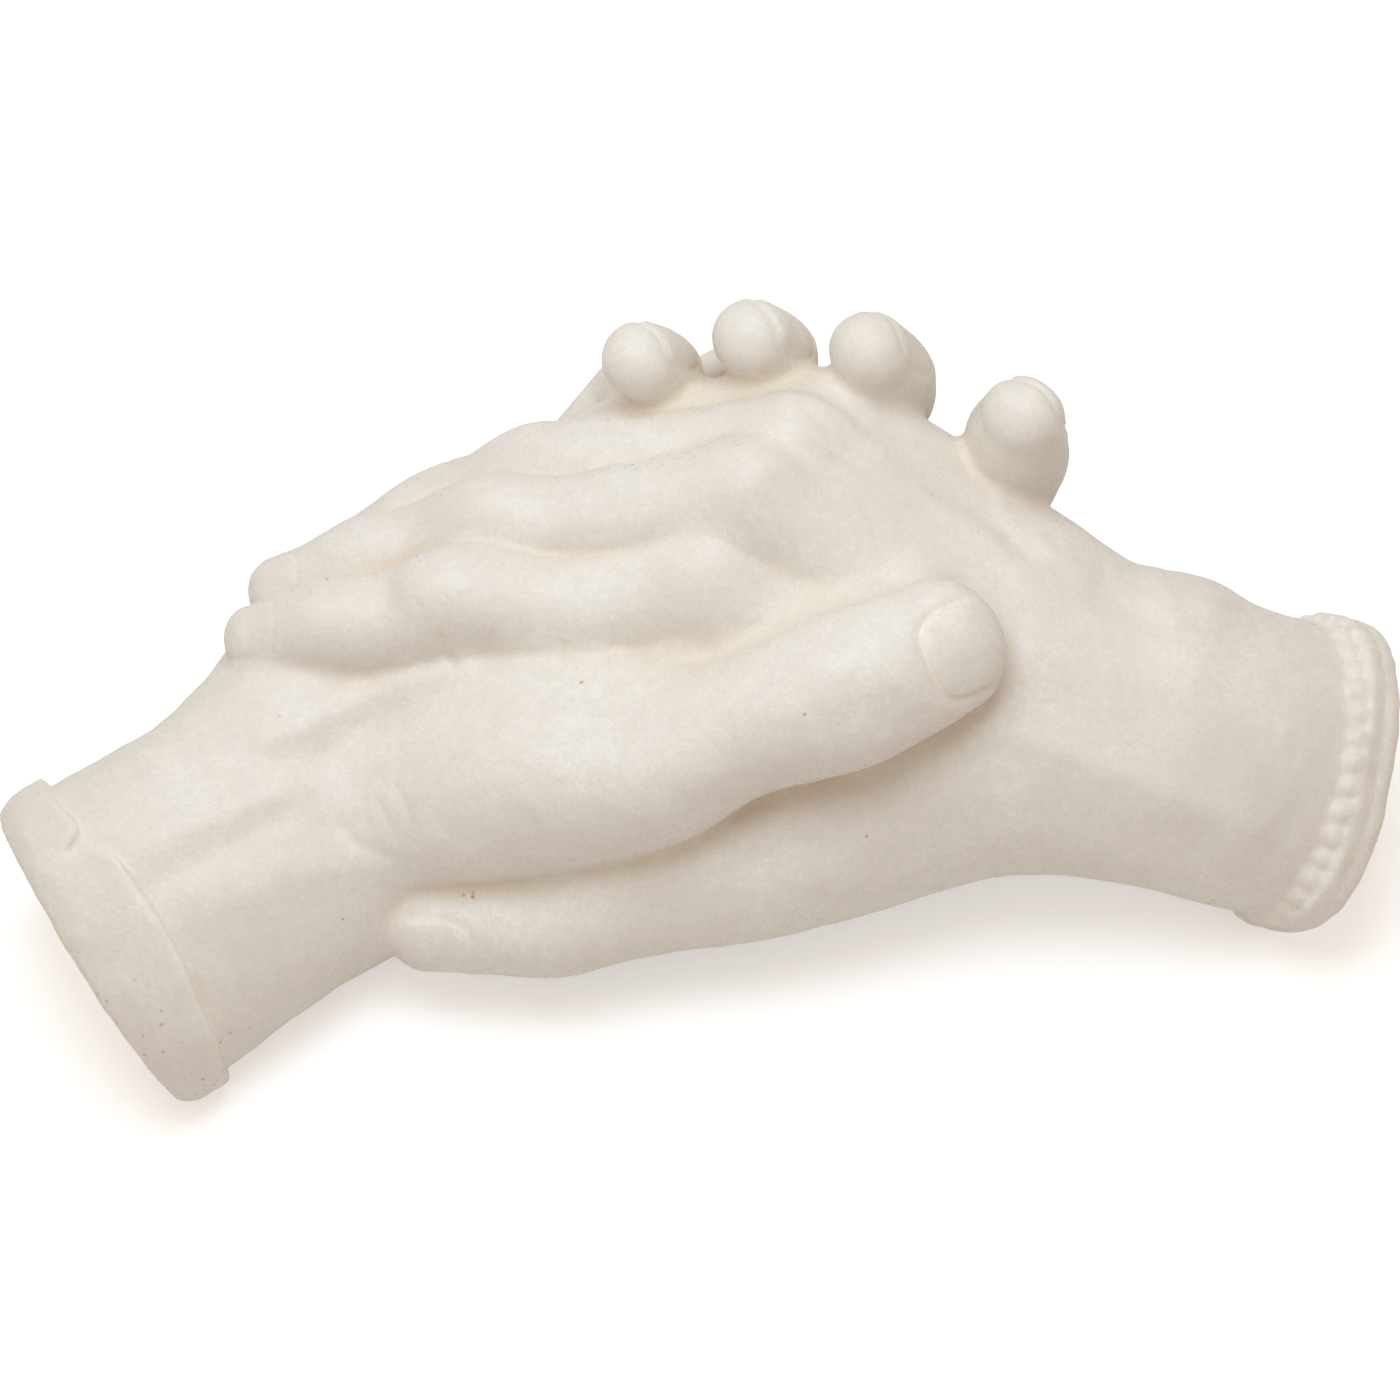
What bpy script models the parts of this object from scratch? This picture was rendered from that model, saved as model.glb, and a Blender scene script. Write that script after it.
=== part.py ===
"""Handshake sculpture: two clasped right hands, ended at the cuffs, cast as one piece of pale stone.

Run with: blender --background --python part.py

The hands are laid out in the clasp plane, in millimetres: U runs along the sculpture, from the lower
hand's cuff to the upper hand's, V runs across it, and W comes out of the back of the upper hand. Each
limb is a loft of oval rings along a smooth path. Each hand is fused on its own, with its creases
filled to a small radius, and then the two are fused to each other. The clasp plane leans back, and
the casting is cut flat where it stands.
"""

import math

import bmesh
import bpy
import numpy as np
from mathutils import Matrix, Vector

MM = 0.001

# Pose of the casting on the table
LEAN = math.radians(30.0)  # the clasp plane's slope
TABLE_Z = -28.4  # height of the table under the clasp's centre

# Fusing and finish
HAND_VOXEL = 1.0  # grid on which each hand's limbs are fused
CLASP_VOXEL = 0.8  # grid on which the two hands are fused
BODY_FILL = 3.4  # radius that fills the creases between a hand's palm, bones and forearm
FINGER_FILL = 0.5  # radius that fills the creases at its fingers
RING_SIDES = 40
RINGS_PER_SPAN = 5
TRIANGLES = 11200  # wanted before the flats are cut
SOFTENING = 0.5  # of each point's way to its neighbours' middle
SOFTENING_PASSES = 2
CAP_ANGLES = np.radians([18, 36, 52, 66, 78, 86])  # rings of a limb's round end
NAIL_RINGS = 3  # rings for each one of a plain limb, where a nail lies
CUTTER_SIDE = 0.4  # metres, well beyond the casting

# Lower hand's cuff: a plain band
BAND_WIDTH = 10.5
BAND_RISE = 1.6

# Upper hand's cuff: a plain rim at the end, and a row of beads half sunk in a low bed inside it
RIM_WIDTH = 3.6
RIM_RISE = 1.7
BEAD_RADIUS = 2.6
BEAD_COUNT = 28
BEAD_RISE = -0.3  # of a bead's middle over the wrist
BEAD_SET_IN = 0.75  # from the rim to a bead's middle, as a share of its radius
BEAD_BED_RISE = 1.2

# Nails: a plate raised from the finger, with a groove round it
NAIL_LENGTH = 0.7  # of the finger's breadth at its tip
NAIL_AHEAD = 0.62  # how far it goes past the last station, as a share of the half breadth there
NAIL_HALF_ANGLE = math.radians(52.0)  # round the finger
NAIL_RISE = 0.55
NAIL_GROOVE = 0.5

# Colour of the stone
STONE_COLOUR = (0.83, 0.79, 0.71, 1.0)
STONE_ROUGHNESS = 0.5

# Which side of a ring, as an angle round it, is the finger's back
ABOVE = math.pi / 2
BELOW = -math.pi / 2

# Every limb is a list of stations (u, v, w, half breadth, half thickness), in millimetres.
# ACROSS is the direction of the breadth.

# Lower hand: its palm faces +W
LOWER_ACROSS = (-0.55, 0.83, 0.0)
LOWER_ARM = [
    (-95.5, -40.5, 8.5, 26.4, 18.5),
    (-87.5, -35.5, 8.6, 26.0, 18.5),
    (-75.0, -27.5, 6.0, 25.2, 18.0),
    (-62.0, -19.0, 0.5, 25.0, 17.5),
    (-50.0, -11.0, -5.0, 27.5, 15.5),
]
LOWER_PALM = [
    (-62.0, -18.5, -1.0, 24.0, 16.0),
    (-46.0, -7.0, -7.6, 30.5, 13.0),
    (-30.0, 4.0, -13.0, 35.0, 13.0),
    (-14.0, 13.5, -19.0, 33.0, 11.5),
]
LOWER_KNUCKLE_BONES = {
    "index": [
        (-50.0, -20.0, -4.0, 11.0, 10.0),
        (-22.0, -9.0, -10.0, 11.0, 11.0),
        (6.5, 2.0, -16.0, 12.0, 12.0),
    ],
    "middle": [
        (-54.0, -14.0, -6.0, 11.0, 10.0),
        (-30.0, 1.0, -17.0, 11.0, 11.0),
        (-7.0, 12.0, -28.0, 11.5, 11.5),
    ],
    "ring": [
        (-57.0, -8.0, -6.0, 11.0, 10.0),
        (-38.0, 8.0, -19.0, 10.5, 10.5),
        (-19.0, 20.0, -30.0, 11.0, 11.0),
    ],
    "little": [
        (-61.0, -2.0, -4.0, 12.0, 12.0),
        (-46.0, 11.0, -15.0, 11.0, 11.0),
        (-28.0, 21.5, -24.0, 10.2, 10.2),
    ],
}
LOWER_FINGERS = {
    "index": [
        (6.5, 2.0, -16.0, 12.0, 12.0),
        (23.0, 14.0, -20.0, 10.5, 10.5),
        (38.0, 25.5, -21.0, 10.4, 10.2),
        (47.0, 33.5, -14.0, 9.0, 9.0),
        (50.0, 38.0, -4.0, 8.6, 8.6),
        (50.0, 41.0, 5.0, 8.2, 8.0),
        (50.6, 44.0, 11.5, 6.6, 6.3),
    ],
    "middle": [
        (-7.0, 12.0, -28.0, 11.5, 11.5),
        (9.0, 27.0, -28.5, 10.4, 10.2),
        (23.5, 40.5, -25.0, 10.2, 10.0),
        (28.0, 46.5, -17.0, 8.6, 8.4),
        (30.3, 49.8, -6.0, 7.8, 7.6),
        (29.2, 51.6, 2.0, 7.6, 7.4),
        (26.8, 54.2, 9.5, 6.7, 6.4),
    ],
    "ring": [
        (-19.0, 20.0, -30.0, 11.0, 11.0),
        (-6.0, 34.0, -29.5, 9.8, 9.8),
        (5.0, 47.0, -25.0, 9.6, 9.4),
        (9.5, 50.5, -17.0, 8.0, 7.6),
        (12.2, 53.4, -6.0, 7.0, 6.8),
        (11.0, 55.0, 1.0, 7.0, 6.8),
        (8.4, 56.6, 8.5, 6.4, 6.2),
    ],
    "little": [
        (-28.0, 21.5, -24.0, 10.2, 10.2),
        (-19.0, 36.0, -28.0, 8.8, 8.8),
        (-11.0, 46.5, -25.0, 8.5, 8.3),
        (-8.0, 50.5, -16.0, 7.3, 7.1),
        (-5.8, 51.6, -6.0, 6.6, 6.4),
        (-6.8, 52.4, 1.0, 6.6, 6.4),
        (-9.2, 53.2, 7.5, 6.3, 6.1),
    ],
}
LOWER_HINGE = (-0.68, 0.73, 0.0)  # the fingers' hinge pins
LOWER_THUMB = [
    (-49.0, -18.0, 4.0, 12.0, 12.5),
    (-28.0, -14.0, 13.0, 13.0, 13.0),
    (-9.0, -11.0, 18.0, 12.6, 12.0),
    (6.0, -5.0, 22.5, 10.6, 10.5),
    (21.0, 0.5, 25.5, 12.0, 11.0),
    (31.0, 4.8, 26.5, 11.4, 9.8),
    (37.5, 7.8, 25.5, 10.6, 8.8),
]
LOWER_THUMB_ACROSS = (-0.38, 0.92, 0.0)
LOWER_THENAR = [
    (-58.0, -23.0, -2.0, 11.0, 11.0),
    (-42.0, -14.5, 4.0, 15.0, 14.0),
    (-26.0, -9.5, 8.0, 17.0, 15.0),
    (-10.0, -6.0, 10.0, 15.0, 12.0),
    (2.0, -2.0, 10.0, 11.0, 9.0),
]
LOWER_HEEL = [
    (-72.0, -12.0, 1.0, 11.0, 11.0),
    (-64.0, -3.5, 0.0, 13.0, 13.0),
    (-54.0, 7.0, -6.0, 13.0, 12.5),
    (-42.0, 13.0, -12.0, 11.0, 11.0),
]

# Upper hand: its back faces +W
UPPER_ACROSS = (0.21, 0.96, -0.17)
UPPER_ARM = [
    (100.0, -12.8, -7.6, 24.0, 18.5),
    (94.0, -11.2, -4.6, 23.8, 18.5),
    (85.0, -9.2, -1.0, 24.0, 18.0),
    (74.0, -6.0, 2.0, 24.5, 17.0),
    (60.5, -2.5, 3.5, 25.5, 15.5),
    (50.0, 2.0, 4.5, 26.5, 15.0),
]
UPPER_PALM = [
    (60.0, -2.5, 2.0, 22.0, 13.0),
    (44.0, 5.0, 3.5, 25.0, 13.0),
    (28.0, 17.0, 4.0, 25.0, 12.5),
    (13.0, 29.0, 4.0, 24.0, 11.0),
]
UPPER_PALM_ACROSS = (0.48, 0.78, -0.4)
UPPER_KNUCKLE_BONES = {
    "index": [
        (53.5, -7.0, 5.5, 9.0, 9.0),
        (26.0, 6.0, 9.5, 8.0, 8.5),
        (1.5, 17.0, 13.0, 9.8, 10.5),
    ],
    "middle": [
        (56.5, 0.0, 6.5, 9.0, 9.0),
        (31.0, 17.0, 11.0, 8.0, 8.5),
        (8.0, 30.8, 14.0, 9.4, 10.3),
    ],
    "ring": [
        (60.5, 5.5, 5.5, 9.0, 9.0),
        (37.0, 23.5, 7.5, 8.0, 8.5),
        (15.5, 37.8, 9.5, 9.2, 9.8),
    ],
    "little": [
        (61.5, 12.0, 1.0, 10.0, 9.0),
        (43.0, 28.4, 0.0, 9.4, 9.6),
        (22.0, 42.2, 4.0, 9.2, 9.5),
    ],
}
UPPER_FINGERS = {
    "index": [
        (0.5, 17.0, 12.5, 10.0, 10.3),
        (-15.0, 14.2, 11.5, 9.4, 9.2),
        (-25.0, 14.2, 11.5, 9.0, 8.8),
        (-37.0, 14.9, 11.0, 9.3, 8.8),
        (-47.5, 12.6, 9.5, 8.3, 7.9),
        (-57.5, 11.4, 8.0, 7.9, 7.4),
        (-69.0, 9.8, 6.0, 6.4, 6.0),
    ],
    "middle": [
        (7.5, 30.8, 13.5, 9.8, 10.2),
        (-12.0, 27.6, 8.8, 8.8, 8.8),
        (-33.0, 26.4, 3.0, 8.8, 8.5),
        (-43.0, 24.0, -0.5, 7.7, 7.5),
        (-53.0, 21.0, -3.0, 7.5, 7.2),
        (-66.0, 17.8, -6.0, 6.4, 6.0),
    ],
    "ring": [
        (15.0, 37.8, 9.0, 9.4, 9.7),
        (-4.0, 37.0, 2.5, 8.6, 8.6),
        (-25.0, 35.6, -7.0, 8.6, 8.4),
        (-35.0, 31.4, -11.5, 7.6, 7.4),
        (-45.0, 27.2, -14.0, 7.4, 7.1),
        (-56.0, 22.5, -17.0, 6.2, 5.8),
    ],
    "little": [
        (22.0, 42.2, 4.0, 9.2, 9.5),
        (6.0, 42.8, 0.5, 8.3, 8.3),
        (-9.5, 41.2, -6.5, 7.8, 7.6),
        (-19.0, 38.5, -15.0, 7.2, 7.0),
        (-28.0, 35.5, -22.5, 6.8, 6.6),
        (-38.0, 30.5, -25.0, 5.6, 5.4),
    ],
}
UPPER_HINGE = (0.25, 0.8, -0.55)
UPPER_THUMB = [
    (47.0, -14.0, 4.0, 12.5, 12.0),
    (28.5, -20.5, 5.5, 12.8, 11.5),
    (10.5, -27.0, 6.0, 11.0, 10.5),
    (-9.0, -32.0, 6.5, 8.6, 8.6),
    (-22.0, -35.2, 7.0, 8.7, 8.4),
    (-34.0, -35.8, 7.0, 7.6, 7.2),
    (-42.5, -36.2, 6.5, 7.0, 6.4),
]
UPPER_THUMB_ACROSS = (0.25, 0.8, 0.55)
UPPER_WEB = [
    (50.0, -9.0, 5.0, 15.0, 12.0),
    (30.0, -6.0, 7.0, 15.0, 11.5),
    (12.0, -2.0, 9.0, 15.0, 10.0),
    (-2.0, 4.0, 9.5, 11.0, 8.0),
]
ULNAR_BUMP = (76.0, 10.5, 1.5, 9.0)  # the wrist bone's knob: u, v, w and radius

# Where the two hands press together: each of these fills a pocket between them
PALM_CONTACT = [
    (-36.0, 4.0, -4.0, 18.0, 8.0),
    (-15.0, 10.0, -4.0, 22.0, 10.0),
    (10.0, 18.0, -5.0, 22.0, 11.0),
    (28.0, 22.0, -6.0, 16.0, 9.0),
]
PALM_ROLL = [
    (-52.0, 0.0, -2.5, 9.0, 9.0),
    (-36.0, 1.0, 3.5, 9.0, 9.0),
    (-22.0, 2.0, 6.5, 9.0, 9.0),
    (-6.0, 3.5, 9.5, 8.5, 8.5),
    (8.0, 7.0, 12.0, 8.0, 8.0),
    (20.0, 11.0, 13.5, 8.0, 8.0),
    (32.0, 14.5, 13.5, 8.0, 7.5),
]
THUMB_BED = [
    (-38.0, -29.0, 2.5, 5.0, 5.0),
    (-22.0, -27.0, 5.5, 6.0, 5.0),
    (-6.0, -24.0, 8.0, 6.5, 6.0),
    (12.0, -17.5, 10.5, 7.0, 6.0),
    (26.0, -11.0, 11.5, 7.0, 6.0),
]
PALM_CONTACT_ACROSS = (-0.3, 0.95, 0.0)


def clear_scene():
    for obj in list(bpy.data.objects):
        bpy.data.objects.remove(obj, do_unlink=True)


def stone():
    """Pale satin stone."""
    material = bpy.data.materials.new("pale_stone")
    material.use_nodes = True
    shader = material.node_tree.nodes["Principled BSDF"]
    shader.inputs["Base Color"].default_value = STONE_COLOUR
    shader.inputs["Roughness"].default_value = STONE_ROUGHNESS
    shader.inputs["Metallic"].default_value = 0.0
    return material


def smooth_path(stations):
    """The stations joined by a smooth curve, as an array of rows like them."""
    rows = np.array(stations, float)
    rows = np.vstack([2 * rows[0] - rows[1], rows, 2 * rows[-1] - rows[-2]])
    found = []
    for i in range(1, len(rows) - 2):
        before, start, end, after = rows[i - 1 : i + 3]
        for t in np.arange(RINGS_PER_SPAN) / RINGS_PER_SPAN:
            found.append(
                start
                + 0.5 * t * (end - before)
                + t * t * (before - 2.5 * start + 2 * end - 0.5 * after)
                + t * t * t * (1.5 * (start - end) + 0.5 * (after - before))
            )
    found.append(rows[-2])
    return np.array(found)


def with_round_end(path, at_start):
    """The path with rings added that close one of its ends as half an egg."""
    if at_start:
        return with_round_end(path[::-1], False)[::-1]
    along = path[-1, :3] - path[-2, :3]
    along /= np.linalg.norm(along)
    reach = 0.5 * (path[-1, 3] + path[-1, 4])
    added = []
    for angle in CAP_ANGLES:
        row = path[-1].copy()
        row[:3] += along * reach * math.sin(angle)
        row[3:] *= math.cos(angle)
        added.append(row)
    return np.vstack([path, added])


def nail_height(from_fold, turn, length):
    """How far the skin is raised at a nail, from the place along it and the angle from its middle."""
    along = abs(from_fold / length - 0.5) * 2
    across = abs((turn + math.pi) % (2 * math.pi) - math.pi) / NAIL_HALF_ANGLE
    inside = (along**3 + across**3) ** (1 / 3)
    if inside < 0.92:
        return NAIL_RISE
    if inside < 1.15 and from_fold < length * 0.9:
        return -NAIL_GROOVE
    return 0.0


def loft(name, stations, across, round_start=True, round_end=True, nail_turn=None):
    """A closed skin of oval rings along the stations' path. A nail lies at nail_turn round its end."""
    path = smooth_path(stations)
    nail_length = NAIL_LENGTH * 2 * path[-1, 3]
    nail_end = np.append([0], np.cumsum(np.linalg.norm(np.diff(path[:, :3], axis=0), axis=1)))[-1]
    nail_end += NAIL_AHEAD * path[-1, 3]
    if round_start:
        path = with_round_end(path, True)
    if round_end:
        path = with_round_end(path, False)
    if nail_turn is not None:
        path = with_more_rings(path, NAIL_RINGS)
    run = np.append([0], np.cumsum(np.linalg.norm(np.diff(path[:, :3], axis=0), axis=1)))
    if round_start:
        run -= 0.5 * (stations[0][3] + stations[0][4])
    skin = bmesh.new()
    rings = []
    for i, row in enumerate(path):
        along = Vector(path[min(i + 1, len(path) - 1), :3] - path[max(i - 1, 0), :3]).normalized()
        broad = Vector(across)
        broad = (broad - along * broad.dot(along)).normalized()
        thick = along.cross(broad)
        centre = Vector(row[:3])
        ring = []
        for k in range(RING_SIDES):
            turn = 2 * math.pi * k / RING_SIDES
            raised = 0.0
            if nail_turn is not None and row[3] > 0.3 * stations[-1][3]:
                from_fold = run[i] - nail_end + nail_length
                raised = nail_height(from_fold, turn - nail_turn, nail_length)
            breadth = (row[3] + raised) * math.cos(turn)
            point = centre + broad * breadth + thick * (row[4] + raised) * math.sin(turn)
            ring.append(skin.verts.new(point * MM))
        rings.append(ring)
    for near, far in zip(rings, rings[1:]):
        for k in range(RING_SIDES):
            m = (k + 1) % RING_SIDES
            skin.faces.new((near[k], near[m], far[m], far[k]))
    skin.faces.new(list(reversed(rings[0])))
    skin.faces.new(rings[-1])
    return finished(name, skin)


def with_more_rings(path, times):
    """The path with each of its steps split into this many."""
    places = np.arange(len(path))
    finer = np.linspace(0, len(path) - 1, (len(path) - 1) * times + 1)
    return np.stack([np.interp(finer, places, column) for column in path.T], axis=1)


def ball(name, u, v, w, radius):
    skin = bmesh.new()
    centre = Matrix.Translation(Vector((u, v, w)) * MM)
    bmesh.ops.create_uvsphere(skin, u_segments=16, v_segments=10, radius=radius * MM, matrix=centre)
    return finished(name, skin)


def finished(name, skin, turn_outward=True):
    """An object in the scene from the bmesh."""
    if turn_outward:
        bmesh.ops.recalc_face_normals(skin, faces=skin.faces)
    mesh = bpy.data.meshes.new(name)
    skin.to_mesh(mesh)
    skin.free()
    obj = bpy.data.objects.new(name, mesh)
    bpy.context.scene.collection.objects.link(obj)
    return obj


def lower_arm():
    return loft("lower_arm", LOWER_ARM, LOWER_ACROSS, round_start=False)


def cuff_ring(name, start, inward, oval, across, width, rise):
    """A band round a cuff's end: the forearm's oval, raised, for the band's width."""
    raised = (oval[0] + rise, oval[1] + rise)
    stations = [(*start, *raised), (*(start + inward * width), *raised)]
    return loft(name, stations, across, False, False)


def cuff_end(arm):
    """The centre of a forearm's end and the direction from it into the forearm."""
    path = smooth_path(arm)
    start = Vector(path[0, :3])
    return start, (Vector(path[1, :3]) - start).normalized()


def plain_band():
    """The lower hand's cuff."""
    start, inward = cuff_end(LOWER_ARM)
    oval = LOWER_ARM[0][3:]
    return cuff_ring("plain_band", start, inward, oval, LOWER_ACROSS, BAND_WIDTH, BAND_RISE)


def upper_arm():
    return loft("upper_arm", UPPER_ARM, UPPER_ACROSS, round_start=False)


def plain_rim():
    """The upper hand's cuff ends in a rim."""
    start, inward = cuff_end(UPPER_ARM)
    oval = UPPER_ARM[0][3:]
    return cuff_ring("plain_rim", start, inward, oval, UPPER_ACROSS, RIM_WIDTH, RIM_RISE)


def bead_bed():
    """A lower band inside the rim, as far as the beads' middles."""
    start, inward = cuff_end(UPPER_ARM)
    oval = UPPER_ARM[0][3:]
    return cuff_ring("bead_bed", start, inward, oval, UPPER_ACROSS, RIM_WIDTH + BEAD_RADIUS, BEAD_BED_RISE)


def bead_row():
    """Round beads set side by side round the cuff, inside the rim."""
    half_breadth, half_thickness = UPPER_ARM[0][3:]
    start, along = cuff_end(UPPER_ARM)
    middles = start + along * (RIM_WIDTH + BEAD_RADIUS * BEAD_SET_IN)
    broad = Vector(UPPER_ACROSS)
    broad = (broad - along * broad.dot(along)).normalized()
    thick = along.cross(broad)
    turns = np.linspace(0, 2 * math.pi, 721)
    steps = np.hypot(half_breadth * np.sin(turns), half_thickness * np.cos(turns))
    run = np.concatenate([[0], np.cumsum(0.5 * (steps[1:] + steps[:-1]))])
    beads = []
    for k in range(BEAD_COUNT):
        turn = float(np.interp((k + 0.5) / BEAD_COUNT * run[-1], run, turns))
        across = broad * (half_breadth + BEAD_RISE) * math.cos(turn)
        place = middles + across + thick * (half_thickness + BEAD_RISE) * math.sin(turn)
        beads.append(ball(f"bead_{k + 1:02d}", *place, BEAD_RADIUS))
    return beads


def lower_hand():
    """The hand that lies under: palm up, its fingers hooked round the other hand's outer edge."""
    body = [
        lower_arm(),
        loft("lower_palm", LOWER_PALM, LOWER_ACROSS),
        loft("lower_thenar", LOWER_THENAR, LOWER_THUMB_ACROSS),
        loft("lower_heel", LOWER_HEEL, LOWER_ACROSS),
        loft("palm_roll", PALM_ROLL, PALM_CONTACT_ACROSS),
    ]
    for finger, stations in LOWER_KNUCKLE_BONES.items():
        body.append(loft(f"lower_{finger}_bone", stations, LOWER_ACROSS))
    limbs = [fused("lower_body", body, BODY_FILL)]
    limbs.append(loft("lower_thumb", LOWER_THUMB, LOWER_THUMB_ACROSS, nail_turn=ABOVE))
    for finger, stations in LOWER_FINGERS.items():
        limbs.append(loft(f"lower_{finger}", stations, LOWER_HINGE, nail_turn=BELOW))
    return fused("lower_hand", limbs, FINGER_FILL)


def upper_hand():
    """The hand that lies over: back up, its fingers laid along the other hand's palm and edge."""
    body = [
        upper_arm(),
        ball("ulnar_bump", *ULNAR_BUMP),
        loft("upper_palm", UPPER_PALM, UPPER_PALM_ACROSS),
        loft("upper_web", UPPER_WEB, UPPER_ACROSS),
    ]
    for finger, stations in UPPER_KNUCKLE_BONES.items():
        body.append(loft(f"upper_{finger}_bone", stations, UPPER_PALM_ACROSS))
    limbs = [fused("upper_body", body, BODY_FILL)]
    limbs.append(loft("upper_thumb", UPPER_THUMB, UPPER_THUMB_ACROSS, nail_turn=BELOW))
    for finger, stations in UPPER_FINGERS.items():
        limbs.append(loft(f"upper_{finger}", stations, UPPER_HINGE, nail_turn=BELOW))
    return fused("upper_hand", limbs, FINGER_FILL)


def join(name, pieces):
    """One object with the meshes of all the pieces."""
    skin = bmesh.new()
    for piece in pieces:
        skin.from_mesh(piece.data)
        bpy.data.objects.remove(piece, do_unlink=True)
    return finished(name, skin, turn_outward=False)


def add_remesh(obj, voxel):
    modifier = obj.modifiers.new("fuse", "REMESH")
    modifier.mode = "VOXEL"
    modifier.voxel_size = voxel * MM
    modifier.adaptivity = 0.0


def add_offset(obj, distance):
    modifier = obj.modifiers.new("offset", "DISPLACE")
    modifier.direction = "NORMAL"
    modifier.mid_level = 0.0
    modifier.strength = distance * MM


def add_smooth(obj):
    modifier = obj.modifiers.new("soften", "SMOOTH")
    modifier.factor = SOFTENING
    modifier.iterations = SOFTENING_PASSES


def applied(obj):
    """The object with its modifiers made real."""
    graph = bpy.context.evaluated_depsgraph_get()
    mesh = bpy.data.meshes.new_from_object(obj.evaluated_get(graph), depsgraph=graph)
    obj.modifiers.clear()
    obj.data = mesh
    return obj


def fused(name, limbs, crease_fill):
    """The limbs as one skin: grown, fused and shrunk again, which rounds the creases between them."""
    hand = join(name, limbs)
    add_remesh(hand, HAND_VOXEL)
    add_offset(hand, crease_fill)
    add_remesh(hand, HAND_VOXEL)
    add_smooth(hand)
    add_offset(hand, -crease_fill)
    add_remesh(hand, HAND_VOXEL)
    return applied(hand)


def clasp():
    """Both hands and their cuffs as one casting, still in the clasp plane."""
    pieces = [lower_hand(), upper_hand(), plain_band(), plain_rim(), bead_bed(), *bead_row()]
    pieces.append(loft("palm_contact", PALM_CONTACT, PALM_CONTACT_ACROSS))
    pieces.append(loft("thumb_bed", THUMB_BED, PALM_CONTACT_ACROSS))
    casting = join("handshake", pieces)
    add_remesh(casting, CLASP_VOXEL)
    add_smooth(casting)
    return applied(casting)


def stand(casting):
    """Leans the casting back onto its three resting places."""
    casting.data.transform(Matrix.Rotation(LEAN, 4, "X"))
    casting.data.transform(Matrix.Translation(Vector((0.0, 0.0, -TABLE_Z * MM))))


def lighten(casting):
    """Fewer, larger triangles, before the flats are cut."""
    casting.data.calc_loop_triangles()
    modifier = casting.modifiers.new("fewer_faces", "DECIMATE")
    modifier.ratio = TRIANGLES / len(casting.data.loop_triangles)
    modifier.use_collapse_triangulate = True
    applied(casting)


def cut_flats(casting):
    """Everything below the table plane comes off, which leaves the flats to rest on."""
    skin = bmesh.new()
    below = Matrix.Translation((0.0, 0.0, -0.5 * CUTTER_SIDE))
    bmesh.ops.create_cube(skin, size=CUTTER_SIDE, matrix=below)
    cutter = finished("table_cutter", skin)
    cutter.hide_render = True
    cutter.display_type = "WIRE"
    modifier = casting.modifiers.new("flats", "BOOLEAN")
    modifier.operation = "DIFFERENCE"
    modifier.solver = "EXACT"
    modifier.object = cutter
    applied(casting)


def centre(casting):
    """The origin goes to the bottom centre of the casting's box."""
    corners = np.array([corner[:] for corner in casting.bound_box])
    middle = (corners.min(axis=0) + corners.max(axis=0)) / 2
    shift = Vector((-middle[0], -middle[1], -corners[:, 2].min()))
    casting.data.transform(Matrix.Translation(shift))


def main():
    clear_scene()
    casting = clasp()
    stand(casting)
    lighten(casting)
    cut_flats(casting)
    centre(casting)
    casting.data.materials.clear()
    casting.data.materials.append(stone())
    casting.data.polygons.foreach_set("use_smooth", [True] * len(casting.data.polygons))


main()
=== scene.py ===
"""Clasped right hands in pale marble, ended at the cuffs, with a studio stage.

Lengths inside the shape functions are millimetres in the clasp plane: U runs along the sculpture from
the lower hand's cuff, V across it, and W out of the upper hand's back. The sculpture itself is in
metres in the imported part's frame.
"""

import math
from types import SimpleNamespace

import bpy
import numpy as np
import openvdb
from bpy.props import FloatProperty, FloatVectorProperty, IntProperty, PointerProperty
from bpy.types import Operator, Panel, PropertyGroup
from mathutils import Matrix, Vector


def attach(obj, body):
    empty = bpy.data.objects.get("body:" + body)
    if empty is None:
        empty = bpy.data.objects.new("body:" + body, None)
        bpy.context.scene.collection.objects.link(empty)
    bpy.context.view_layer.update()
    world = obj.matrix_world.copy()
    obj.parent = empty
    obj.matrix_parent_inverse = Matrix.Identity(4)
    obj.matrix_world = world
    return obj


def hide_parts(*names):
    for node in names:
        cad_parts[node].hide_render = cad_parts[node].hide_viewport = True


bl_info = {
    "name": "Clasped Hands",
    "version": (1, 0, 0),
    "blender": (4, 5, 0),
    "location": "View3D > Sidebar > Clasped Hands",
    "description": "Builds a marble sculpture of two clasped hands and a studio stage",
    "category": "Add Mesh",
}

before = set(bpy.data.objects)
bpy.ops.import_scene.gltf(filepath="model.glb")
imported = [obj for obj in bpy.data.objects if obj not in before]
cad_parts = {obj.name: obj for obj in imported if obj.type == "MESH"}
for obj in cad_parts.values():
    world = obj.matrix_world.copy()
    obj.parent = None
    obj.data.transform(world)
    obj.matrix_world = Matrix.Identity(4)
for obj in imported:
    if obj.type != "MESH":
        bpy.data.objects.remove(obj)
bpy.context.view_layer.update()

# The clasp plane leans back by the lean, and the table lies this far from its centre
LEAN = math.radians(30.0)
TABLE_Z = -28.4

# Box that the skin is worked out in, and how far from the skin distances are still true
LOW = np.array([-119.0, -68.0, -47.0])
HIGH = np.array([119.0, 70.0, 52.0])
FIELD_REACH = 6.5

# Reaches of the rounding round the cuffs and beads, and how much the raw skin is smoothed
CUFF_FILL = 0.5
BEAD_FILL = 0.8
SMOOTHING = 0.6

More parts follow.
